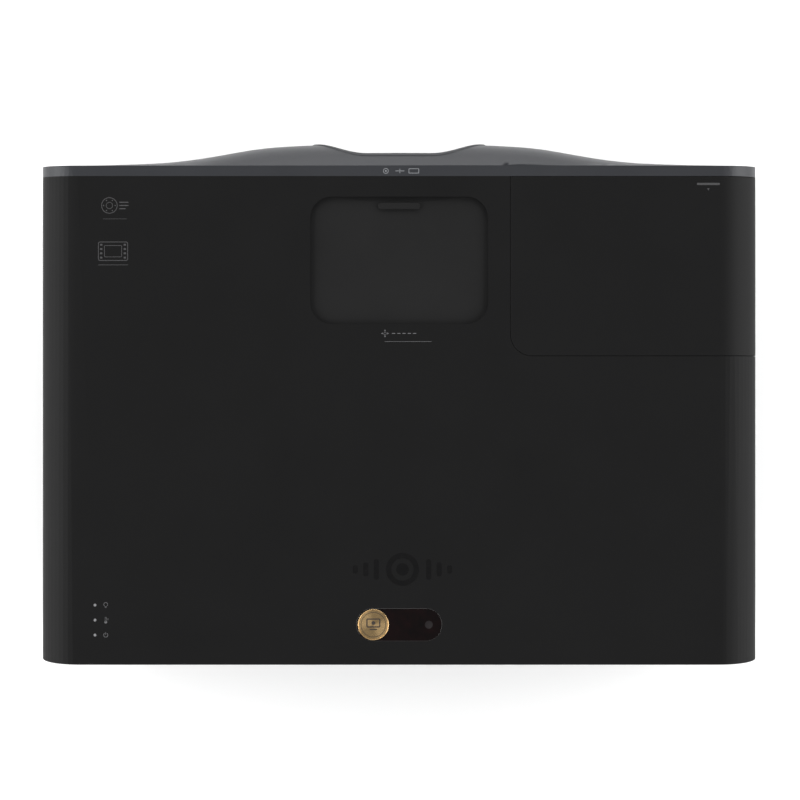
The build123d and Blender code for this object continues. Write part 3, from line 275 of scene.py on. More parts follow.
def shade(colour: Sequence[float], share: float) -> tuple[float, float, float]:
    """A colour made lighter or darker by a share."""
    return tuple(min(1.0, channel * share) for channel in colour[:3])


# ---------------------------------------------------------------------------- finishes
class Gloss(Enum):
    """How glossy a moulded or painted face is: its mean roughness."""

    MATT = 0.62
    SATIN = 0.42
    SEMI = 0.24
    POLISHED = 0.08


@dataclass(frozen=True)
class MouldedPlastic:
    """Textured injection-moulded plastic."""

    name: str
    colour: tuple[float, float, float]
    gloss: Gloss = Gloss.MATT
    grain: float = 0.7 * MM
    depth: float = 0.035 * MM
    specular: float = 0.5

    def build(self) -> bpy.types.Material:
        """Make the material."""
        graph = Graph(self.name)
        cloud = graph.noise(60 * MM, 3.0)
        fine = graph.noise(self.grain, 3.0)
        speck = graph.noise(self.grain * 0.35, 1.0)
        colour = graph.tint(cloud * 0.7 + fine * 0.3, shade(self.colour, 0.86), shade(self.colour, 1.14))
        rough = self.gloss.value - 0.07 + fine * 0.09 + cloud * 0.05
        height = fine * 0.7 + speck * 0.3
        return graph.surface({
            "Base Color": colour,
            "Roughness": rough,
            "Normal": graph.bump(height, self.depth),
            "Specular IOR Level": self.specular,
        })


@dataclass(frozen=True)
class PaintedPanel:
    """Fine satin paint with a little flake, as on the front panel."""

    name: str
    colour: tuple[float, float, float]
    roughness: float = 0.46
    metallic: float = 0.12

    def build(self) -> bpy.types.Material:
        """Make the material."""
        graph = Graph(self.name)
        flake = graph.noise(0.25 * MM, 1.0)
        cloud = graph.noise(45 * MM, 2.0)
        orange_peel = graph.noise(1.6 * MM, 2.0)
        colour = graph.tint(flake * 0.6 + cloud * 0.4, shade(self.colour, 0.88), shade(self.colour, 1.13))
        return graph.surface({
            "Base Color": colour,
            "Roughness": self.roughness + flake * 0.08 + cloud * 0.04 - 0.06,
            "Metallic": self.metallic,
            "Normal": graph.bump(orange_peel * 0.6 + flake * 0.4, 0.02 * MM),
            "Coat Roughness": 0.3,
            "Coat Weight": 0.05,
            "Specular IOR Level": 0.3,
        })


@dataclass(frozen=True)
class GlossInlay:
    """Dark polished plastic that lets a faint warm tone through."""

    name: str
    colour: tuple[float, float, float]
    warm: tuple[float, float, float]
    gloss: Gloss = Gloss.POLISHED

    def build(self) -> bpy.types.Material:
        """Make the material."""
        graph = Graph(self.name)
        cloud = graph.noise(9 * MM, 2.0)
        smear = graph.noise(3 * MM, 3.0)
        return graph.surface({
            "Base Color": graph.tint(cloud, self.colour, self.warm),
            "Roughness": self.gloss.value + smear * 0.05,
            "Normal": graph.bump(smear, 0.004 * MM),
            "Coat Roughness": self.gloss.value * 0.5,
            "Coat Weight": 0.5,
        })


@dataclass(frozen=True)
class SpunMetal:
    """Metal turned on a lathe, with rings round a centre in the XY plane and a painted glint in its colour.
    """

    name: str
    colour: tuple[float, float, float]
    centre: tuple[float, float]
    pitch: float = 0.12 * MM

    def build(self) -> bpy.types.Material:
        """Make the material."""
        graph = Graph(self.name)
        centred = graph.add(
            "ShaderNodeVectorMath",
            {"operation": "SUBTRACT"},
            {0: graph.place(), 1: (self.centre[0], self.centre[1], 0.0)},
        )
        parts = {axis: graph.add("ShaderNodeSeparateXYZ", None, {0: centred}, axis) for axis in "XY"}
        radius = (parts["X"] * parts["X"] + parts["Y"] * parts["Y"]) ** 0.5
        rings = graph.add("ShaderNodeMath", {"operation": "SINE"}, {0: radius * (math.tau / self.pitch)})
        wander = graph.noise(0.5 * MM, 2.0)
        angle = graph.add("ShaderNodeMath", {"operation": "ARCTAN2"}, {0: parts["Y"], 1: parts["X"]})
        # Painted glint: the base colour is lighter in two opposite sectors round the centre, where a
        # highlight on turned metal would fall; tone carries it into the colour.
        painted_glint = graph.add("ShaderNodeMath", {"operation": "COSINE"}, {0: angle * 2.0 + 0.9}) * 0.5 + 0.5
        tone = painted_glint * 0.75 + wander * 0.25
        return graph.surface({
            "Base Color": graph.tint(tone, shade(self.colour, 0.72), shade(self.colour, 1.22)),
            "Roughness": 0.24 + rings * 0.03 + wander * 0.1,
            "Metallic": 0.9,
            "Normal": graph.bump(rings * 0.5 + wander, 0.006 * MM),
        })


@dataclass(frozen=True)
class PlainMetal:
    """Cast, rolled or plated metal with grain that runs along one axis."""

    name: str
    colour: tuple[float, float, float]
    roughness: float = 0.35
    stretch: tuple[float, float, float] = (1.0, 1.0, 1.0)
    grain: float = 0.8 * MM

    def build(self) -> bpy.types.Material:
        """Make the material."""
        graph = Graph(self.name)
        streak = graph.noise(self.grain, 3.0, Vector(self.stretch))
        cloud = graph.noise(20 * MM, 2.0)
        return graph.surface({
            "Base Color": graph.tint(
                streak * 0.6 + cloud * 0.4, shade(self.colour, 0.8), shade(self.colour, 1.15)
            ),
            "Roughness": self.roughness - 0.08 + streak * 0.14 + cloud * 0.05,
            "Metallic": 1.0,
            "Normal": graph.bump(streak, 0.02 * MM),
        })


@dataclass(frozen=True)
class Rubber:
    """Soft black rubber with a dusty bloom."""

    name: str
    colour: tuple[float, float, float]

    def build(self) -> bpy.types.Material:
        """Make the material."""
        graph = Graph(self.name)
        bloom = graph.noise(6 * MM, 4.0)
        fine = graph.noise(0.4 * MM, 2.0)
        return graph.surface({
            "Base Color": graph.tint(bloom, shade(self.colour, 0.8), shade(self.colour, 1.5)),
            "Roughness": 0.72 + bloom * 0.16 + fine * 0.06,
            "Normal": graph.bump(fine * 0.5 + bloom * 0.5, 0.05 * MM),
            "Specular IOR Level": 0.35,
        })


@dataclass(frozen=True)
class CoatedGlass:
    """Optical glass with an interference coat whose tone drifts over the face."""

    name: str
    low: tuple[float, float, float]
    high: tuple[float, float, float]
    alpha: float = 0.22

    def build(self) -> bpy.types.Material:
        """Make the material."""
        graph = Graph(self.name)
        drift = graph.noise(30 * MM, 1.0)
        dust = graph.noise(0.8 * MM, 3.0)
        facing = graph.add("ShaderNodeLayerWeight", None, {"Blend": 0.35}, "Facing")
        return graph.surface({
            "Base Color": graph.tint(drift * 0.5 + facing * 0.5, self.low, self.high),
            "Roughness": 0.02 + dust * 0.03,
            "Alpha": self.alpha + facing * 0.3,
            "Normal": graph.bump(dust, 0.0004 * MM),
            "Coat Roughness": 0.02,
            "Coat Weight": 0.8,
            "IOR": 1.6,
        })


@dataclass(frozen=True)
class SolderMask:
    """Green circuit board with faint copper tracks under the mask."""

    name: str
    colour: tuple[float, float, float]

    def build(self) -> bpy.types.Material:
        """Make the material."""
        graph = Graph(self.name)
        sockets = {"Vector": graph.place(), "Scale": 260.0}
        cells = graph.add("ShaderNodeTexVoronoi", {"distance": "CHEBYCHEV"}, sockets)
        tracks = graph.add("ShaderNodeMath", {"operation": "PINGPONG"}, {0: cells * 3.0, 1: 1.0})
        fine = graph.noise(0.8 * MM, 2.0)
        return graph.surface({
            "Base Color": graph.tint(
                tracks * 0.8 + fine * 0.2, shade(self.colour, 0.6), shade(self.colour, 1.8)
            ),
            "Roughness": 0.3 + fine * 0.12,
            "Normal": graph.bump(tracks, 0.03 * MM),
            "Coat Weight": 0.4,
            "Coat Roughness": 0.12,
        })


@dataclass(frozen=True)
class PrintedInk:
    """Thin printed legend, slightly broken up by the texture that it lies on."""

    name: str
    colour: tuple[float, float, float]

    def build(self) -> bpy.types.Material:
        """Make the material."""
        graph = Graph(self.name)
        fleck = graph.noise(0.35 * MM, 3.0)
        tone = graph.tint(fleck, shade(self.colour, 0.75), shade(self.colour, 1.1))
        return graph.surface({
            "Base Color": tone,
            "Roughness": 0.5 + fleck * 0.15,
            "Normal": graph.bump(fleck, 0.01 * MM),
        })


Finish = (
    MouldedPlastic | PaintedPanel | GlossInlay | SpunMetal | PlainMetal | Rubber | CoatedGlass
    | SolderMask | PrintedInk
)


class Palette:
    """Every finish of the projector, each made into a material once."""

    def __init__(self, badge_centre: tuple[float, float]) -> None:
        """Name the finishes.

        Args:
            badge_centre: The badge's middle, where its turned rings centre.
        """
        finishes: list[Finish] = [
            MouldedPlastic("cover", (0.0024, 0.0024, 0.0025), Gloss.MATT, specular=0.13),
            MouldedPlastic("case", (0.0046, 0.0046, 0.0048), Gloss.MATT, specular=0.16),
            MouldedPlastic("door", (0.0052, 0.0052, 0.0053), Gloss.MATT, specular=0.16),
            PaintedPanel("front", (0.0205, 0.0215, 0.0245)),
            PaintedPanel("surround", (0.020, 0.021, 0.0235), roughness=0.5, metallic=0.1),
            MouldedPlastic("grille", (0.010, 0.010, 0.011), Gloss.SATIN),
            GlossInlay("window", (0.0016, 0.0010, 0.0011), (0.0040, 0.0014, 0.0015)),
            SpunMetal("gold", (0.80, 0.55, 0.27), badge_centre),
            PrintedInk("lens_plastic", (0.16, 0.16, 0.165)),
            PlainMetal("steel", (0.52, 0.52, 0.54), 0.3, (1.0, 8.0, 8.0)),
            MouldedPlastic("black_plastic", (0.012, 0.012, 0.013), Gloss.SATIN),
            SolderMask("board", (0.012, 0.075, 0.035)),
            PlainMetal("alloy", (0.42, 0.43, 0.45), 0.45),
            CoatedGlass("glass", (0.006, 0.012, 0.030), (0.035, 0.012, 0.045)),
            PlainMetal("mirror", (0.86, 0.88, 0.92), 0.12, grain=6 * MM),
            PaintedPanel("barrel", (0.010, 0.010, 0.0105), roughness=0.45, metallic=0.4),
            Rubber("ring_rubber", (0.011, 0.011, 0.011)),
            MouldedPlastic("key", (0.014, 0.014, 0.015), Gloss.SATIN, grain=0.4 * MM),
            Rubber("foot", (0.012, 0.012, 0.012)),
            PrintedInk("legend", (0.085, 0.085, 0.088)),
            PrintedInk("faint_legend", (0.030, 0.030, 0.031)),
            PrintedInk("panel_legend", (0.16, 0.165, 0.175)),
            PrintedInk("badge_mark", (0.018, 0.012, 0.008)),
            GlossInlay("emblem", (0.0016, 0.0016, 0.0018), (0.0026, 0.0025, 0.0026), Gloss.SEMI),
            GlossInlay("sensor", (0.009, 0.0075, 0.008), (0.016, 0.014, 0.0145)),
            PlainMetal("gilt_contact", (0.78, 0.56, 0.25), 0.25),
            MouldedPlastic("dust_screen", (0.006, 0.006, 0.0065), Gloss.SATIN, grain=0.3 * MM),
        ]
        self.materials = {finish.name: finish.build() for finish in finishes}

    def dress(self, piece: bpy.types.Object, name: str) -> None:
        """Give a piece one finish all over.

        Args:
            piece: A mesh object.
            name: The finish's name.
        """
        piece.data.materials.clear()
        piece.data.materials.append(self.materials[name])


# ---------------------------------------------------------------------------- making pieces
def centre_of(node: str) -> Vector:
    """Middle of a CAD node's box."""
    low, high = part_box(node)
    return (low + high) / 2


class Workshop:
    """Makes finished pieces and sets them on their bodies."""

    def __init__(self, palette: Palette) -> None:
        """Keep the palette.

        Args:
            palette: The finishes to dress pieces in.
        """
        self.palette = palette
        self.made = 0

    def deliver(
        self, piece: bpy.types.Object, body: str, finish: str, slot: str | None = None
    ) -> bpy.types.Object:
        """Dress a piece, set it on its body and report it.

        Args:
            piece: The finished piece.
            body: The body that it rides on.
            finish: The finish's name.
            slot: The record's material slot, if it has one; not used.

        Returns:
            The same piece.
        """
        self.palette.dress(piece, finish)
        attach(piece, body)
        self.made += 1
        log.info("%s on %s: %d faces", piece.name, body, len(piece.data.polygons))
        return piece

    def piece(self, name: str, shape: bmesh.types.BMesh, smooth: float = 30.0) -> bpy.types.Object:
        """Turn a bmesh into an object.

        Args:
            name: The object's name.
            shape: The mesh, freed afterwards.
            smooth: Edges sharper than this many degrees stay sharp.

        Returns:
            The object.
        """
        mesh = bpy.data.meshes.new(name)
        shape.to_mesh(mesh)
        shape.free()
        mesh.shade_smooth()
        mesh.set_sharp_from_angle(angle=math.radians(smooth))
        made = bpy.data.objects.new(name, mesh)
        bpy.context.scene.collection.objects.link(made)
        return made

    def reskin(self, node: str, finish: str, edge: float = 0.3, smooth: float = 28.0) -> bpy.types.Object:
        """Stand a welded copy with softened edges in for a CAD node.

        Args:
            node: The CAD node.
            finish: The finish's name.
            edge: Width of the softened edges in millimetres; 0 leaves them sharp.
            smooth: Edges sharper than this many degrees stay sharp.

        Returns:
            The new piece.
        """
        shape = bmesh.new()
        shape.from_mesh(frame["nodes"][node].data)
        bmesh.ops.remove_doubles(shape, verts=shape.verts, dist=0.002 * MM)
        bmesh.ops.dissolve_limit(
            shape,
            angle_limit=math.radians(0.4),
            use_dissolve_boundaries=False,
            verts=shape.verts,
            edges=shape.edges,
        )
        made = self.piece(node + "_skin", shape, smooth)
        if edge:
            bevel = made.modifiers.new("edges", "BEVEL")
            bevel.width = edge * MM
            bevel.segments = 2
            bevel.limit_method = "ANGLE"
            bevel.angle_limit = math.radians(40)
            bevel.use_clamp_overlap = True
            bevel.harden_normals = False
        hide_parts(node)
        return self.deliver(made, NODE_BODY[node], finish, NODE_SLOT[node])

    def keep(self, node: str, finish: str) -> None:
        """Leave a CAD node's shape as it is and give it a finish.

        Args:
            node: The CAD node.
            finish: The finish's name.
        """
        self.palette.dress(frame["nodes"][node], finish)


@dataclass
class Stamp:
    """Flat printed or inlaid shapes, drawn in millimetres in a plane and made one thin mesh."""

    place: Matrix
    thickness: float = 0.05 * MM
    shape: bmesh.types.BMesh = field(default_factory=bmesh.new)

    def _fill(
        self, loop: Sequence[tuple[float, float]], hole: Sequence[tuple[float, float]] | None = None
    ) -> None:
        """Add one flat shape with thickness, and a hole of as many points if asked.

        Args:
            loop: Outline, anticlockwise, in millimetres.
            hole: Inner outline with the same number of points.
        """
        def ring(points: Sequence[tuple[float, float]], height: float) -> list[bmesh.types.BMVert]:
            """Vertices of one outline at one height."""
            return [self.shape.verts.new(self.place @ Vector((x * MM, y * MM, height))) for x, y in points]

        count = len(loop)
        top = ring(loop, self.thickness)
        low = ring(loop, 0.0)
        inner_top = ring(hole, self.thickness) if hole else []
        inner_low = ring(hole, 0.0) if hole else []
        for i in range(count):
            j = (i + 1) % count
            self.shape.faces.new((low[i], low[j], top[j], top[i]))
            if hole:
                self.shape.faces.new((top[i], top[j], inner_top[j], inner_top[i]))
                self.shape.faces.new((low[j], low[i], inner_low[i], inner_low[j]))
                self.shape.faces.new((inner_low[j], inner_low[i], inner_top[i], inner_top[j]))
        if not hole:
            self.shape.faces.new(top)
            self.shape.faces.new(list(reversed(low)))

    @staticmethod
    def _arc(
        x: float, y: float, radius: float, start: float, end: float, steps: int
    ) -> list[tuple[float, float]]:
        """Points along an arc, angles in degrees."""
        angles = [math.radians(start + (end - start) * i / steps) for i in range(steps + 1)]
        return [(x + radius * math.cos(a), y + radius * math.sin(a)) for a in angles]

    def disc(self, x: float, y: float, radius: float) -> None:
        """Add a round dot."""
        self._fill(self._arc(x, y, radius, 0, 360, 40)[:-1])

    def ring(self, x: float, y: float, radius: float, line: float) -> None:
        """Add a circle drawn with a line of the given width."""
        outer = self._arc(x, y, radius, 0, 360, 48)[:-1]
        self._fill(outer, self._arc(x, y, radius - line, 0, 360, 48)[:-1])

    def arc(self, x: float, y: float, radius: float, line: float, start: float, end: float) -> None:
        """Add part of a circle drawn with a line."""
        outer = self._arc(x, y, radius, start, end, 30)
        self._fill(outer + self._arc(x, y, radius - line, end, start, 30))

    def _round_box(
        self, x: float, y: float, wide: float, high: float, radius: float
    ) -> list[tuple[float, float]]:
        """Outline of a rounded rectangle."""
        radius = min(radius, wide / 2, high / 2)
        points: list[tuple[float, float]] = []
        corners = ((1, 1, 0), (-1, 1, 90), (-1, -1, 180), (1, -1, 270))
        for sx, sy, start in corners:
            cx = x + sx * (wide / 2 - radius)
            cy = y + sy * (high / 2 - radius)
            points += self._arc(cx, cy, radius, start, start + 90, 6)
        return points

    def bar(self, x: float, y: float, wide: float, high: float, radius: float = 0.15) -> None:
        """Add a filled rounded rectangle."""
        self._fill(self._round_box(x, y, wide, high, radius))

    def frame(self, x: float, y: float, wide: float, high: float, line: float, radius: float = 0.5) -> None:
        """Add the outline of a rounded rectangle."""
        outer = self._round_box(x, y, wide, high, radius)
        inner = self._round_box(x, y, wide - 2 * line, high - 2 * line, max(radius - line, 0.05))
        self._fill(outer, inner)

    def arrow(self, x: float, y: float, size: float, turn: float) -> None:
        """Add a small triangle that points along turn degrees."""
        points = [(size, 0.0), (-size * 0.6, size * 0.85), (-size * 0.6, -size * 0.85)]
        spin = math.radians(turn)
        turned = [
            (x + px * math.cos(spin) - py * math.sin(spin), y + px * math.sin(spin) + py * math.cos(spin))
            for px, py in points
        ]
        self._fill(turned)


def facing_up(x: float, y: float, z: float) -> Matrix:
    """Plane on the cover, read by somebody who stands in front of the lens: right is -X and up is -Y."""
    return Matrix(((-1, 0, 0, x), (0, -1, 0, y), (0, 0, 1, z), (0, 0, 0, 1)))


def on_side(x: float, y: float, z: float) -> Matrix:
    """Plane on the left side, seen from outside: right is +Y and up is +Z."""
    return Matrix(((0, 0, 1, x), (1, 0, 0, y), (0, 1, 0, z), (0, 0, 0, 1)))


def turned(
    profile: Sequence[tuple[float, float]], centre: Vector, axis: Vector, steps: int = 72
) -> bmesh.types.BMesh:
    """Turn a profile round an axis.

    Args:
        profile: Radius and height along the axis of each point, in metres; the height is absolute.
        centre: A point on the axis.
        axis: Y or Z as a unit vector.
        steps: Facets round.

    Returns:
        The turned mesh, closed where the profile meets the axis or itself.
    """
    across = Vector((1, 0, 0))
    up = axis.cross(across)
    base = centre - axis * centre.dot(axis)
    shape = bmesh.new()
    rings = []
    for radius, height in profile:
        count = 1 if radius < 1e-7 else steps
        angles = [math.tau * i / steps for i in range(count)]
        rings.append([
            shape.verts.new(base + axis * height + (across * math.cos(a) + up * math.sin(a)) * radius)
            for a in angles
        ])
    for first, second in zip(rings, rings[1:]):
        for i in range(steps):
            j = (i + 1) % steps
            corners = (
                first[i % len(first)],
                first[j % len(first)],
                second[j % len(second)],
                second[i % len(second)],
            )
            unique = list(dict.fromkeys(corners))
            if len(unique) > 2:
                shape.faces.new(unique)
    bmesh.ops.recalc_face_normals(shape, faces=shape.faces)
    return shape


# ---------------------------------------------------------------------------- geometry node trees
class Patterns:
    """Geometry node trees for what repeats."""

    def __init__(self) -> None:
        """Start with no tree."""
        self.tree: bpy.types.NodeTree | None = None

    def start(self, name: str, inputs: dict[str, tuple[str, float | int]]) -> dict[str, bpy.types.NodeSocket]:
        """Begin a tree with named inputs.

        Args:
            name: The tree's name.
            inputs: Input name to its socket type and default.

        Returns:
            Input name to the group input's socket.
        """
        self.tree = bpy.data.node_groups.new(name, "GeometryNodeTree")
        interface = self.tree.interface
        interface.new_socket("Geometry", in_out="INPUT", socket_type="NodeSocketGeometry")
        for label, (kind, default) in inputs.items():
            made = interface.new_socket(label, in_out="INPUT", socket_type=kind)
            if kind != "NodeSocketMaterial":
                made.default_value = default
        interface.new_socket("Geometry", in_out="OUTPUT", socket_type="NodeSocketGeometry")
        entry = self.tree.nodes.new("NodeGroupInput")
        return {socket.name: socket for socket in entry.outputs if socket.name}

    def add(self, kind: str, settings: dict | None = None, inputs: dict | None = None, out: str | int = 0):
        """Add one geometry node.

        Args:
            kind: The node's type.
            settings: Its properties.
            inputs: Socket name or index to a value or an output socket.
            out: The output wanted.

        Returns:
            The wanted output socket.
        """
        node = self.tree.nodes.new(kind)
        for key, value in (settings or {}).items():
            setattr(node, key, value)
        for key, value in (inputs or {}).items():
            if isinstance(value, bpy.types.NodeSocket):
                self.tree.links.new(value, node.inputs[key])
            else:
                node.inputs[key].default_value = value
        return node.outputs[out]

    def close(self, geometry: bpy.types.NodeSocket, material: bpy.types.NodeSocket) -> bpy.types.NodeTree:
        """End a tree with real geometry and its material.

        Args:
            geometry: The result so far.
            material: The material input's socket.

        Returns:
            The finished tree.
        """
        real = self.add("GeometryNodeRealizeInstances", None, {0: geometry})
        dressed = self.add("GeometryNodeSetMaterial", None, {"Geometry": real, "Material": material})
        leave = self.tree.nodes.new("NodeGroupOutput")
        self.tree.links.new(dressed, leave.inputs[0])
        return self.tree

    @staticmethod
    def run(name: str, tree: bpy.types.NodeTree, points: Sequence[Vector], values: dict) -> bpy.types.Object:
        """Run a tree on a cloud of points and keep the result as a plain mesh.

        Args:
            name: The piece's name.
            tree: The tree.
            points: Where its copies go.
            values: Input name to value.

        Returns:
            The piece.
        """
        cloud = bpy.data.meshes.new(name + "_points")
        cloud.from_pydata([tuple(point) for point in points], [], [])
        holder = bpy.data.objects.new(name + "_holder", cloud)
        bpy.context.scene.collection.objects.link(holder)
        modifier = holder.modifiers.new("pattern", "NODES")
        modifier.node_group = tree
        sockets = {item.name: item.identifier for item in tree.interface.items_tree if item.in_out == "INPUT"}
        for label, value in values.items():
            modifier[sockets[label]] = value
        graph = bpy.context.evaluated_depsgraph_get()
        mesh = bpy.data.meshes.new_from_object(holder.evaluated_get(graph))
        mesh.name = name
        bpy.data.objects.remove(holder)
        made = bpy.data.objects.new(name, mesh)
        bpy.context.scene.collection.objects.link(made)
        return made

    def hex_screen(self) -> bpy.types.NodeTree:
        """Honeycomb cell round every point, lying in the XZ plane."""
        ports = self.start("hex_screen", {
            "Cell": ("NodeSocketFloat", 2 * MM),
            "Wire": ("NodeSocketFloat", 0.2 * MM),
            "Material": ("NodeSocketMaterial", 0),
        })
        cell = self.add("GeometryNodeCurvePrimitiveCircle", None, {"Resolution": 6, "Radius": ports["Cell"]})
        wire = self.add("GeometryNodeCurvePrimitiveCircle", None, {"Resolution": 4, "Radius": ports["Wire"]})
        ring = self.add("GeometryNodeCurveToMesh", None, {"Curve": cell, "Profile Curve": wire})
        turned = self.add(
            "GeometryNodeTransform", None, {"Geometry": ring, "Rotation": (math.pi / 2, math.pi / 6, 0)}
        )
        copies = self.add(
            "GeometryNodeInstanceOnPoints", None, {"Points": ports["Geometry"], "Instance": turned}
        )
        return self.close(copies, ports["Material"])

    def cross_screw(self) -> bpy.types.NodeTree:
        """Pan-head screw with a cross recess at every point, its head towards +Z before Tilt."""
        ports = self.start("cross_screw", {
            "Radius": ("NodeSocketFloat", 3 * MM),
            "Height": ("NodeSocketFloat", 1 * MM),
            "Slot": ("NodeSocketFloat", 0.7 * MM),
            "Tilt": ("NodeSocketFloat", 0.0),
            "Material": ("NodeSocketMaterial", 0),
        })
        sockets = {"Vertices": 40, "Side Segments": 2, "Radius": ports["Radius"], "Depth": ports["Height"]}
        head = self.add("GeometryNodeMeshCylinder", None, sockets)
        long_side = self.add("ShaderNodeMath", {"operation": "MULTIPLY"}, {0: ports["Radius"], 1: 1.1})
        sizes = [
            self.add("ShaderNodeCombineXYZ", None, {0: first, 1: second, 2: ports["Height"]})
            for first, second in ((long_side, ports["Slot"]), (ports["Slot"], long_side))
        ]
        lifted = [
            self.add(
                "GeometryNodeTransform",
                None,
                {
                    "Geometry": self.add("GeometryNodeMeshCube", None, {"Size": size}),
                    "Translation": self.add("ShaderNodeCombineXYZ", None, {2: self.add(
                        "ShaderNodeMath", {"operation": "MULTIPLY"}, {0: ports["Height"], 1: 0.45})}),
                },
            )
            for size in sizes
        ]
        cut = self.tree.nodes.new("GeometryNodeMeshBoolean")
        cut.operation = "DIFFERENCE"
        self.tree.links.new(head, cut.inputs[0])
        for arm in lifted:
            self.tree.links.new(arm, cut.inputs[1])
        tilt = self.add("ShaderNodeCombineXYZ", None, {0: ports["Tilt"]})
        turned = self.add("GeometryNodeTransform", None, {"Geometry": cut.outputs[0], "Rotation": tilt})
        copies = self.add(
            "GeometryNodeInstanceOnPoints", None, {"Points": ports["Geometry"], "Instance": turned}
        )
        return self.close(copies, ports["Material"])

    def blade_row(self) -> bpy.types.NodeTree:
        """Small upright block at every point, as a contact, rib or fin."""
        ports = self.start("blade_row", {
            "Wide": ("NodeSocketFloat", 1 * MM),
            "Deep": ("NodeSocketFloat", 1 * MM),
            "High": ("NodeSocketFloat", 1 * MM),
            "Tilt": ("NodeSocketFloat", 0.0),
            "Material": ("NodeSocketMaterial", 0),
        })
        size = self.add("ShaderNodeCombineXYZ", None, {0: ports["Wide"], 1: ports["Deep"], 2: ports["High"]})
        block = self.add("GeometryNodeMeshCube", None, {"Size": size})
        tilt = self.add("ShaderNodeCombineXYZ", None, {0: ports["Tilt"]})
        turned = self.add("GeometryNodeTransform", None, {"Geometry": block, "Rotation": tilt})
        copies = self.add(
            "GeometryNodeInstanceOnPoints", None, {"Points": ports["Geometry"], "Instance": turned}
        )
        return self.close(copies, ports["Material"])


# ---------------------------------------------------------------------------- sub-assemblies
@dataclass
class CaseShells:
    """Top cover, lamp cover, bottom case and door."""

    shop: Workshop
    edge: float = 0.35

    def build(self) -> None:
        """Dress the shells."""
        for node, finish in (
            ("top_cover", "cover"),
            ("lamp_cover", "cover"),
            ("bottom_case", "case"),
            ("lens_shift_door", "door"),
        ):
            self.shop.reskin(node, finish, self.edge)
        self.shop.reskin("shift_tray", "black_plastic", 0.2)
        for dial in ("vertical_shift_dial", "horizontal_shift_dial"):
            self.shop.reskin(dial, "key", 0.25)


@dataclass
class FrontFace:
    """Front panel, recess surround, grilles and the dust screens behind them."""

    shop: Workshop
    patterns: Patterns
    cell: float = 1.7 * MM
    wire: float = 0.28 * MM

    def build(self) -> None:
        """Dress the front and hang the dust screens."""
        self.shop.reskin("front_panel", "front", 0.6, smooth=35)
        self.shop.reskin("lens_surround", "surround", 0.3, smooth=35)
        tree = self.patterns.hex_screen()
        for side in ("left", "right"):
            self.shop.reskin(f"front_grille_{side}", "grille", 0.25)
            self._screen(side, tree)

    def _screen(self, side: str, tree: bpy.types.NodeTree) -> None:
        """Hang one honeycomb dust screen between a grille and its fan.

        Args:
            side: left or right.
            tree: The honeycomb's tree.
        """
        low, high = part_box(f"front_grille_{side}")
        fan = "intake_fan_frame" if side == "left" else "exhaust_fan_frame"
        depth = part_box(fan)[0].y - 1.2 * MM
        across = self.cell * math.sqrt(3)
        down = self.cell * 1.5
        margin = 2 * self.cell
        rows = int((high.z - low.z - 2 * margin) / down)
        columns = int((high.x - low.x - 2 * margin) / across)
        points = [
            Vector((low.x + margin + (column + 0.5 * (row % 2)) * across, depth, low.z + margin + row * down))
            for row in range(rows + 1)
            for column in range(columns)
        ]
        values = {
            "Cell": self.cell,
            "Wire": self.wire,
            "Material": self.shop.palette.materials["dust_screen"],
        }
        screen = self.patterns.run(f"dust_screen_{side}", tree, points, values)
        self.shop.deliver(screen, "base", "dust_screen", "grille")


@dataclass
class Optics:
    """Lens barrel, rings, front cell and the glass seen through it."""

    shop: Workshop
    glass_radius: float = 27.0 * MM
    baffles: int = 7

    def build(self) -> None:
        """Dress the lens and fill its barrel."""
        for node, finish, edge in (
            ("lens_barrel", "barrel", 0.3),
            ("zoom_ring", "ring_rubber", 0.2),
            ("focus_ring", "ring_rubber", 0.2),
            ("front_cell", "barrel", 0.4),
        ):
            self.shop.reskin(node, finish, edge, smooth=25)
        self.shop.reskin("front_glass", "glass", 0.0, smooth=50)
        self._baffles()
        self._inner_glass()

    def _baffles(self) -> None:
        """Line the barrel behind the front glass with stepped light baffles."""
        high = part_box("front_cell")[1]
        centre = centre_of("front_cell")
        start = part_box("front_glass")[1].y + 1.0 * MM
        room = high.y - start - 1.0 * MM
        profile: list[tuple[float, float]] = []
        wall = self.glass_radius - 2.6 * MM
        for i in range(self.baffles):
            front = start + room * i / self.baffles
            back = start + room * (i + 0.75) / self.baffles
            inner = wall - 1.0 * MM - 0.6 * MM * i
            profile += [(wall, front), (inner, front + 0.2 * MM), (inner, front + 0.6 * MM), (wall, back)]
        profile += [(wall + 0.1 * MM, profile[-1][1]), (wall + 0.1 * MM, start), (wall, start)]
        shape = turned(profile, centre, Vector((0, 1, 0)))
        bmesh.ops.remove_doubles(shape, verts=shape.verts, dist=0.001 * MM)
        self.shop.deliver(self.shop.piece("lens_baffles", shape), "front_cell", "barrel", "barrel")

    def _inner_glass(self) -> None:
        """Set two more coated lenses deeper in the barrel."""
        centre = centre_of("lens_barrel")
        radius = 26.0 * MM
        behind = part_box("front_cell")[1].y
        for index, (place, crown) in enumerate(((behind + 6 * MM, 5 * MM), (behind + 24 * MM, 3.5 * MM))):
            steps = 14
            face = [(radius * i / steps, place - crown * (1 - (i / steps) ** 2)) for i in range(steps + 1)]
            back = [(radius, place + 2 * MM), (0.0, place + 2 * MM)]
            shape = turned(face + back, centre, Vector((0, 1, 0)))
            made = self.shop.piece(f"inner_glass_{index + 1}", shape, 50)
            self.shop.deliver(made, "lens_barrel", "glass", "glass")


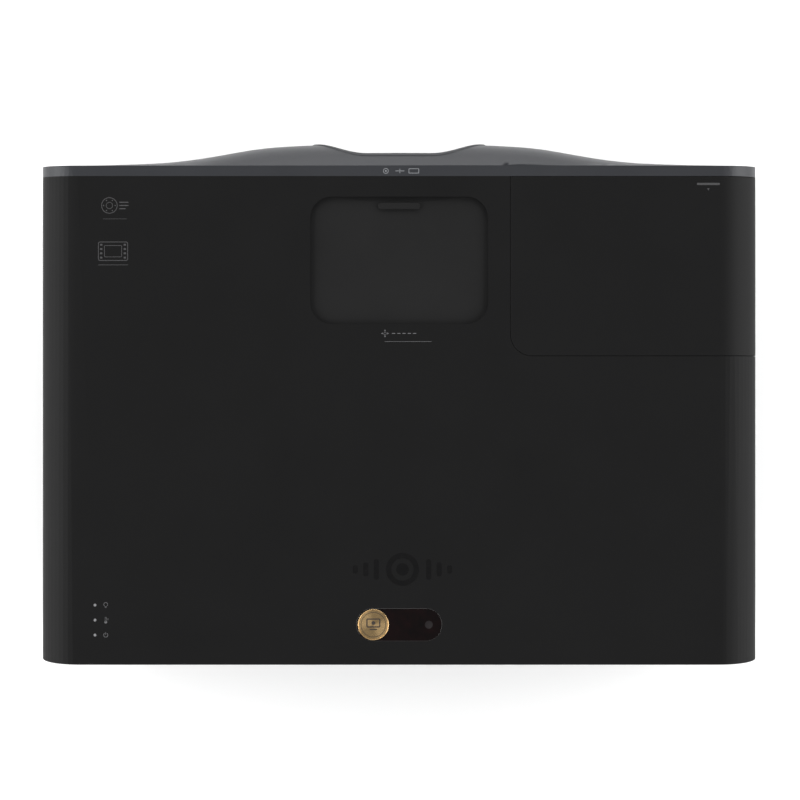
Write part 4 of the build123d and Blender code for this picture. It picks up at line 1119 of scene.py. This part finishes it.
@dataclass
class CoverMarks:
    """Window, badge, lights, emblem and the printed pictograms on the cover."""

    shop: Workshop
    lift: float = 0.01 * MM
    badge_sink: float = 0.15 * MM
    skin_z: float = 0.0

    def build(self) -> None:
        """Dress the inlays and print the marks."""
        self.skin_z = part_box("top_cover")[1].z
        self.shop.reskin("remote_window", "window", 0.15)
        self._badge()
        self.shop.keep("indicator_lenses", "lens_plastic")
        self._sensor()
        self._emblem()
        self._indicator_marks()
        self._shift_mark()
        self._faint_marks()
        self._lamp_mark()
        self._panel_marks()

    def _plane(self, x: float, y: float) -> Matrix:
        """Printing plane on the cover, its middle given in metres."""
        return facing_up(x, y, self.skin_z + self.lift)

    def _print(self, name: str, stamp: Stamp, finish: str, body: str = "base", slot: str = "cover") -> None:
        """Deliver one stamp."""
        self.shop.deliver(self.shop.piece(name, stamp.shape), body, finish, slot)

    def _badge(self) -> None:
        """Turned badge with a raised rim, and a small dark screen on its sunk face."""
        low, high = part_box("badge_disc")
        centre = (low + high) / 2
        radius = (high.x - low.x) / 2
        face = high.z - self.badge_sink
        rim = radius - 0.45 * MM
        profile = (
            (0.0, low.z),
            (radius, low.z),
            (radius, high.z - 0.12 * MM),
            (radius - 0.12 * MM, high.z),
            (rim, high.z),
            (rim - 0.08 * MM, face),
            (0.0, face),
        )
        badge = self.shop.piece("badge", turned(profile, centre, Vector((0, 0, 1))), 25)
        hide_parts("badge_disc")
        self.shop.deliver(badge, NODE_BODY["badge_disc"], "gold", NODE_SLOT["badge_disc"])
        stamp = Stamp(facing_up(centre.x, centre.y, face + self.lift), 0.06 * MM)
        stamp.frame(0, 1.2, 9.6, 6.2, 0.8, 0.9)
        stamp.bar(0, -3.2, 5.2, 0.8, 0.4)
        stamp.disc(0, 1.2, 1.3)
        stamp.ring(0, 0, 8.6, 0.28)
        self._print("badge_mark", stamp, "badge_mark", slot="gold")

    def _sensor(self) -> None:
        """Receiver dot under the window's gloss."""
        window = centre_of("remote_window")
        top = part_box("remote_window")[1].z
        stamp = Stamp(facing_up(window.x - 20.4 * MM, window.y, top + self.lift), 0.02 * MM)
        stamp.disc(0, 0, 2.7)
        self._print("receiver_dot", stamp, "sensor", slot="window")

    def _emblem(self) -> None:
        """Plain glossy inlay: an aperture between two short rows of bars."""
        window = centre_of("remote_window")
        stamp = Stamp(self._plane(-2.3 * MM, window.y - 38.0 * MM), 0.06 * MM)
        stamp.ring(0, 0, 11.2, 3.4)
        stamp.disc(0, 0, 4.2)
        for side in (1, -1):
            for step, (wide, high) in enumerate(((3.2, 14.0), (3.2, 9.5), (3.2, 5.5))):
                stamp.bar(side * (18.0 + 7.2 * step), 0, wide, high, 1.4)
        self._print("emblem", stamp, "emblem", slot="window")

    def _indicator_marks(self) -> None:
        """Power, temperature and lamp pictograms beside the three lights."""
        low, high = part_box("indicator_lenses")
        first = (low.x + high.x) / 2
        middle = (low.y + high.y) / 2
        pitch = (high.y - low.y - 4 * MM) / 2
        offset = -7.4 * MM
        stamp = Stamp(self._plane(first + offset, middle + pitch))
        stamp.arc(0, 0, 1.6, 0.32, 125, 415)
        stamp.bar(0, 1.1, 0.32, 1.8)
        self._print("power_mark", stamp, "legend")
        stamp = Stamp(self._plane(first + offset, middle))
        stamp.frame(0, 0.5, 1.1, 3.2, 0.25, 0.5)
        stamp.disc(0, -1.4, 0.95)
        stamp.bar(1.5, 0.9, 0.9, 0.25)
        stamp.bar(1.5, 0.1, 0.9, 0.25)
        self._print("temperature_mark", stamp, "legend")
        stamp = Stamp(self._plane(first + offset, middle - pitch))
        stamp.arc(0, 0.4, 1.5, 0.3, -50, 230)
        stamp.bar(0, -1.1, 1.5, 0.3)
        stamp.bar(0, -1.7, 1.1, 0.3)
        self._print("lamp_mark", stamp, "legend")

    def _shift_mark(self) -> None:
        """Four-way arrows and a thin line behind the door opening."""
        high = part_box("lens_shift_door")[1]
        x = 0.0
        y = high.y + 4.4 * MM
        stamp = Stamp(self._plane(x + 9.7 * MM, y))
        for turn in (0, 90, 180, 270):
            spin = math.radians(turn)
            stamp.arrow(2.0 * math.cos(spin), 2.0 * math.sin(spin), 0.75, turn)
        stamp.ring(0, 0, 1.0, 0.25)
        self._print("shift_mark", stamp, "legend")
        stamp = Stamp(self._plane(x - 3.4 * MM, y))
        for step in range(5):
            stamp.bar(-7.2 + step * 3.6, 0, 2.3, 0.5, 0.25)
        stamp.bar(-0.3 + 3.1, -5.6, 32.3, 0.22, 0.1)
        self._print("shift_line", stamp, "legend")

    def _faint_marks(self) -> None:
        """Pale pictograms of an aperture and a film frame near the left front corner."""
        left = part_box("top_cover")[1].x
        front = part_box("lamp_cover")[0].y
        stamp = Stamp(self._plane(left - 51.5 * MM, front + 20 * MM))
        stamp.ring(-3.8, 0, 5.6, 0.5)
        stamp.ring(-3.8, 0, 2.4, 0.4)
        for turn in range(6):
            spin = math.radians(turn * 60)
            stamp.disc(-3.8 + 4.0 * math.cos(spin), 4.0 * math.sin(spin), 0.45)
        stamp.bar(6.2, 2.2, 6.4, 0.7, 0.3)
        stamp.bar(6.2, 0, 6.4, 0.7, 0.3)
        stamp.bar(5.2, -2.2, 4.4, 0.7, 0.3)
        stamp.bar(0, -9.2, 16.5, 0.25, 0.1)
        self._print("aperture_mark", stamp, "faint_legend")
        stamp = Stamp(self._plane(left - 50.2 * MM, front + 52.8 * MM))
        stamp.frame(0, 1.4, 20.6, 13.2, 0.5, 1.4)
        stamp.frame(0, 1.4, 12.2, 8.2, 0.4, 0.8)
        for side in (1, -1):
            for step in range(4):
                stamp.bar(side * 8.1, -3.0 + step * 2.95, 1.6, 1.3, 0.3)
        stamp.bar(0, -8.0, 20.6, 0.35, 0.15)
        self._print("film_mark", stamp, "faint_legend")

    def _lamp_mark(self) -> None:
        """Open arrow by the front seam of the lamp cover, with its fine line."""
        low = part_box("lamp_cover")[0]
        stamp = Stamp(self._plane(low.x + 34.3 * MM, low.y + 5.2 * MM))
        stamp.bar(0, 0, 15.9, 1.5, 0.7)
        stamp.arrow(0, -3.6, 1.0, 270)
        self._print("release_mark", stamp, "faint_legend", "lamp_cover")

    def _panel_marks(self) -> None:
        """Three small pictograms on the top edge of the front panel."""
        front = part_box("front_panel")[1]
        stamp = Stamp(facing_up(-0.5 * MM, front.y - 3.5 * MM, front.z + self.lift))
        stamp.ring(-9.6, 0, 1.9, 0.4)
        stamp.disc(-9.6, 0, 0.6)
        stamp.bar(0, 0, 6.2, 0.45, 0.2)
        stamp.bar(0, 0, 0.45, 3.2, 0.2)
        stamp.frame(9.6, 0, 7.2, 3.4, 0.4, 0.6)
        self._print("panel_mark", stamp, "panel_legend", slot="front")


@dataclass
class ControlStrip:
    """Key strip in the left side."""

    shop: Workshop
    keys: tuple[str, ...] = (
        "power_key", "source_key", "menu_key", "up_key", "down_key", "left_key", "right_key", "select_key",
    )

    def build(self) -> None:
        """Dress the strip, its keys and their pictograms."""
        self.shop.reskin("keypad_bezel", "window", 0.2)
        for key in self.keys:
            self.shop.reskin(key, "key", 0.25)
            self._mark(key)

    def _mark(self, key: str) -> None:
        """Print one key's pictogram just proud of its face.

        Args:
            key: The key's node.
        """
        centre = centre_of(key)
        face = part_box(key)[1].x
        stamp = Stamp(on_side(face + 0.01 * MM, centre.y, centre.z), 0.03 * MM)
        arrows = {"up_key": 90, "down_key": 270, "left_key": 180, "right_key": 0}
        if key in arrows:
            stamp.arrow(0, 0, 1.0, arrows[key])
        elif key == "power_key":
            stamp.arc(0, 0, 2.1, 0.45, 125, 415)
            stamp.bar(0, 1.4, 0.45, 2.2)
        elif key == "source_key":
            stamp.frame(0, 0, 4.4, 2.6, 0.35, 0.5)
            stamp.arrow(0, 0, 0.7, 0)
        elif key == "menu_key":
            for step in (-1, 0, 1):
                stamp.bar(0, step * 0.95, 3.4, 0.4)
        else:
            stamp.ring(0, 0, 1.3, 0.35)
        self.shop.deliver(self.shop.piece(key + "_mark", stamp.shape), key, "panel_legend", "key")


@dataclass
class BackAndUnder:
    """Rear panel, sockets, screws, feet and side grilles."""

    shop: Workshop
    patterns: Patterns
    lean: float = math.radians(7.5)

    def build(self) -> None:
        """Dress everything at the back, the sides and underneath."""
        self.shop.reskin("rear_panel", "case", 0.25)
        self.shop.reskin("metal_sockets", "steel", 0.12)
        self.shop.reskin("jack_sockets", "black_plastic", 0.2)
        self.shop.reskin("ac_inlet", "black_plastic", 0.3)
        for side in ("left", "right"):
            self.shop.reskin(f"side_grille_{side}", "grille", 0.2)
        for foot in ("foot_front_left", "foot_front_right", "foot_rear_left", "foot_rear_right"):
            self.shop.reskin(foot, "foot", 0.8)
            self._foot_ribs(foot)
        self._screws()
        self._contacts()
        self._socket_marks()

    def _foot_ribs(self, foot: str) -> None:
        """Set upright grip ribs round one foot's pad, sunk so that they keep inside its edge.

        Args:
            foot: The foot's node.
        """
        low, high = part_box(foot)
        centre = (low + high) / 2
        radius = (high.x - low.x) / 2 - 0.25 * MM
        count = 36
        shape = bmesh.new()
        for i in range(count):
            turn = Matrix.Rotation(math.tau * i / count, 4, "Z")
            place = Matrix.Translation((centre.x, centre.y, low.z + 4.6 * MM)) @ turn
            place = (
                place
                @ Matrix.Translation((radius, 0, 0))
                @ Matrix.Diagonal((0.5 * MM, 1.0 * MM, 5.6 * MM, 1))
            )
            bmesh.ops.create_cube(shape, size=1.0, matrix=place)
        self.shop.deliver(self.shop.piece(foot + "_ribs", shape), foot, "foot", "foot")

    @staticmethod
    def _islands(node: str) -> list[tuple[Vector, Vector]]:
        """Boxes of a CAD node's separate solids.

        Args:
            node: The node.

        Returns:
            Lowest and highest corner of each solid.
        """
        shape = bmesh.new()
        shape.from_mesh(frame["nodes"][node].data)
        bmesh.ops.remove_doubles(shape, verts=shape.verts, dist=0.002 * MM)
        left = set(shape.verts)
        boxes = []
        while left:
            stack = [left.pop()]
            seen = list(stack)
            while stack:
                vertex = stack.pop()
                for edge in vertex.link_edges:
                    other = edge.other_vert(vertex)
                    if other in left:
                        left.discard(other)
                        stack.append(other)
                        seen.append(other)
            places = [vertex.co for vertex in seen]
            boxes.append(tuple(
                Vector([pick(co[i] for co in places) for i in range(3)]) for pick in (min, max)
            ))
        shape.free()
        return boxes

    def _screws(self) -> None:
        """Put cross-recess heads on the case screws."""
        self.shop.keep("case_screws", "steel")
        tree = self.patterns.cross_screw()
        rear, under = [], []
        for low, high in self._islands("case_screws"):
            if high.z - low.z > 20 * MM:
                under.append(Vector(((low.x + high.x) / 2, (low.y + high.y) / 2, low.z)))
            else:
                rear.append(Vector(((low.x + high.x) / 2, high.y, (low.z + high.z) / 2)))
        steel = self.shop.palette.materials["steel"]
        values = {"Radius": 2.9 * MM, "Height": 0.9 * MM, "Slot": 0.65 * MM, "Material": steel}
        normal = Vector((0, math.cos(self.lean), -math.sin(self.lean)))
        rear = [point - normal * 0.35 * MM - Vector((0, 0, 0.3 * MM)) for point in rear]
        tilt = -(math.pi / 2 + self.lean)
        heads = self.patterns.run("rear_screw_heads", tree, rear, values | {"Tilt": tilt})
        self.shop.deliver(heads, "base", "steel", "steel")
        under = [point + Vector((0, 0, 0.2 * MM)) for point in under]
        heads = self.patterns.run(
            "under_screw_heads", tree, under, values | {"Tilt": math.pi, "Radius": 3.3 * MM}
        )
        self.shop.deliver(heads, "base", "steel", "steel")

    def _contacts(self) -> None:
        """Line the flat sockets and the network socket with gilt contacts."""
        tree = self.patterns.blade_row()
        points = []
        for low, high in self._islands("metal_sockets"):
            wide = high.x - low.x
            count = 8 if wide > 25 * MM else 7
            pitch = (wide - 5 * MM) / count
            middle = (low + high) / 2
            for i in range(count):
                points.append(Vector((
                    middle.x + (i - (count - 1) / 2) * pitch,
                    middle.y - 1.5 * MM,
                    middle.z + 1.0 * MM,
                )))
        gilt = self.shop.palette.materials["gilt_contact"]
        values = {"Wide": 0.6 * MM, "Deep": 7 * MM, "High": 0.35 * MM, "Tilt": -self.lean, "Material": gilt}
        contacts = self.patterns.run("socket_contacts", tree, points, values)
        self.shop.deliver(contacts, "base", "gilt_contact", "steel")

    def _socket_marks(self) -> None:
        """Print a plain pictogram above each rear socket."""
        panel_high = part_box("rear_panel")[1]
        slope = math.tan(self.lean)
        places = [("metal_sockets", box) for box in self._islands("metal_sockets")]
        places += [("jack_sockets", box) for box in self._islands("jack_sockets")]
        places += [("ac_inlet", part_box("ac_inlet"))]
        shape = bmesh.new()
        for node, (low, high) in places:
            middle_x = (low.x + high.x) / 2
            z = high.z + 3.4 * MM
            y = panel_high.y - (panel_high.z - z) * slope + 0.012 * MM
            turn = Matrix.Rotation(-self.lean, 4, "X")
            base = Matrix(((-1, 0, 0, middle_x), (0, 0, 1, y), (0, 1, 0, z), (0, 0, 0, 1)))
            plane = (
                Matrix.Translation((middle_x, y, z)) @ turn @ Matrix.Translation((-middle_x, -y, -z)) @ base
            )
            stamp = Stamp(plane, 0.03 * MM, shape)
            if node == "metal_sockets":
                stamp.frame(0, 0, min((high.x - low.x) / MM * 0.5, 8.0), 2.2, 0.3, 0.5)
            elif node == "jack_sockets":
                stamp.ring(0, 0, 1.3, 0.35)
            else:
                stamp.bar(-1.6, 0.4, 3.4, 0.4)
                stamp.bar(1.6, -0.4, 3.4, 0.4)
        self.shop.deliver(self.shop.piece("socket_marks", shape), "base", "panel_legend", "case")


@dataclass
class Innards:
    """Lamp module, fans, boards, light engine and lens carriage."""

    shop: Workshop

    def build(self) -> None:
        """Dress the inner nodes; the larger ones get softened edges."""
        for node, finish in (
            ("lamp_housing", "black_plastic"),
            ("lamp_handle", "black_plastic"),
            ("intake_rotor", "black_plastic"),
            ("exhaust_rotor", "black_plastic"),
            ("intake_fan_frame", "black_plastic"),
            ("exhaust_fan_frame", "black_plastic"),
            ("engine_housing", "alloy"),
        ):
            self.shop.reskin(node, finish, 0.3)
        for node, finish in (
            ("lamp_reflector", "mirror"),
            ("lamp_burner", "glass"),
            ("blower_housing", "black_plastic"),
            ("blower_rotor", "black_plastic"),
            ("colour_wheel", "glass"),
            ("light_tunnel", "glass"),
            ("engine_lenses", "glass"),
            ("dmd_board", "board"),
            ("dmd_heatsink", "alloy"),
            ("main_board", "board"),
            ("power_board", "board"),
            ("lamp_ballast", "alloy"),
            ("lens_mount_plate", "alloy"),
            ("vertical_carriage", "alloy"),
        ):
            self.shop.keep(node, finish)


# ---------------------------------------------------------------------------- studio
@dataclass
class Studio:
    """Pale floor, soft lights and a camera straight above."""

    view_width: float = 549.4 * MM
    aim: tuple[float, float] = (-0.6 * MM, -2.1 * MM)
    height: float = 3.2
    reach: float = 4.6
    box_width: float = 7.5
    box_height: float = 4.4

    def build(self) -> None:
        """Set up floor, lights, world and camera."""
        self._floor()
        self._world()
        for name, azimuth, power in (
            ("front", 0, 400.0),
            ("left", 90, 510.0),
            ("rear", 180, 220.0),
            ("right", 270, 510.0),
        ):
            turn = math.radians(azimuth)
            place = (self.reach * math.sin(turn), -self.reach * math.cos(turn), self.box_height / 2 + 0.05)
            self._light(name, place, (0.0, 0.0, 0.5), (self.box_width, self.box_height), power)
        self._camera()

    def _floor(self) -> None:
        """Lay the pale floor."""
        shape = bmesh.new()
        bmesh.ops.create_grid(shape, x_segments=1, y_segments=1, size=6.0)
        mesh = bpy.data.meshes.new("floor")
        shape.to_mesh(mesh)
        shape.free()
        floor = bpy.data.objects.new("floor", mesh)
        floor.location.z = -0.2 * MM
        bpy.context.scene.collection.objects.link(floor)
        graph = Graph("pale_floor")
        grain = graph.noise(0.4, 2.0)
        sockets = {"Base Color": graph.tint(grain, (0.90, 0.90, 0.90), (0.93, 0.93, 0.93)), "Roughness": 0.9}
        floor.data.materials.append(graph.surface(sockets))
        floor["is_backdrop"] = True

    @staticmethod
    def _world() -> None:
        """Give the studio an even pale surround."""
        world = bpy.data.worlds.new("studio")
        world.use_nodes = True
        ground = world.node_tree.nodes["Background"]
        ground.inputs["Color"].default_value = (1.0, 1.0, 1.0, 1.0)
        ground.inputs["Strength"].default_value = 0.08
        bpy.context.scene.world = world
        bpy.context.scene.view_settings.view_transform = "Standard"

    @staticmethod
    def _light(
        name: str,
        place: Sequence[float],
        aim: Sequence[float],
        size: Sequence[float],
        power: float,
    ) -> None:
        """Hang one soft box.

        Args:
            name: The light's name.
            place: Where it hangs.
            aim: The point it faces.
            size: Width and height.
            power: Watts.
        """
        lamp = bpy.data.lights.new(name, "AREA")
        lamp.shape = "RECTANGLE"
        lamp.size, lamp.size_y = size
        lamp.energy = power
        holder = bpy.data.objects.new(name, lamp)
        holder.location = place
        holder.rotation_euler = (Vector(aim) - Vector(place)).to_track_quat("-Z", "Y").to_euler()
        bpy.context.scene.collection.objects.link(holder)

    def _camera(self) -> None:
        """Look straight down with the lens side at the top of the frame."""
        camera = bpy.data.cameras.new("camera")
        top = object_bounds()[1][2]
        camera.sensor_width = 36.0
        camera.lens = 36.0 * (self.height - top) / self.view_width
        camera.clip_end = 50.0
        holder = bpy.data.objects.new("camera", camera)
        holder.location = (*self.aim, self.height)
        holder.rotation_euler = (0.0, 0.0, math.pi)
        bpy.context.scene.collection.objects.link(holder)
        bpy.context.scene.camera = holder


def main() -> None:
    """Build the projector's looks in order and log how many pieces were made."""
    logging.basicConfig(level=logging.INFO, format="%(message)s")
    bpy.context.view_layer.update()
    badge = centre_of("badge_disc")
    shop = Workshop(Palette((badge.x, badge.y)))
    patterns = Patterns()
    builders: list[Callable[[], None]] = [
        Studio().build,
        CaseShells(shop).build,
        FrontFace(shop, patterns).build,
        Optics(shop).build,
        CoverMarks(shop).build,
        ControlStrip(shop).build,
        BackAndUnder(shop, patterns).build,
        Innards(shop).build,
    ]
    for build in builders:
        build()
    log.info("%d pieces made", shop.made)


if __name__ == "__main__":
    main()
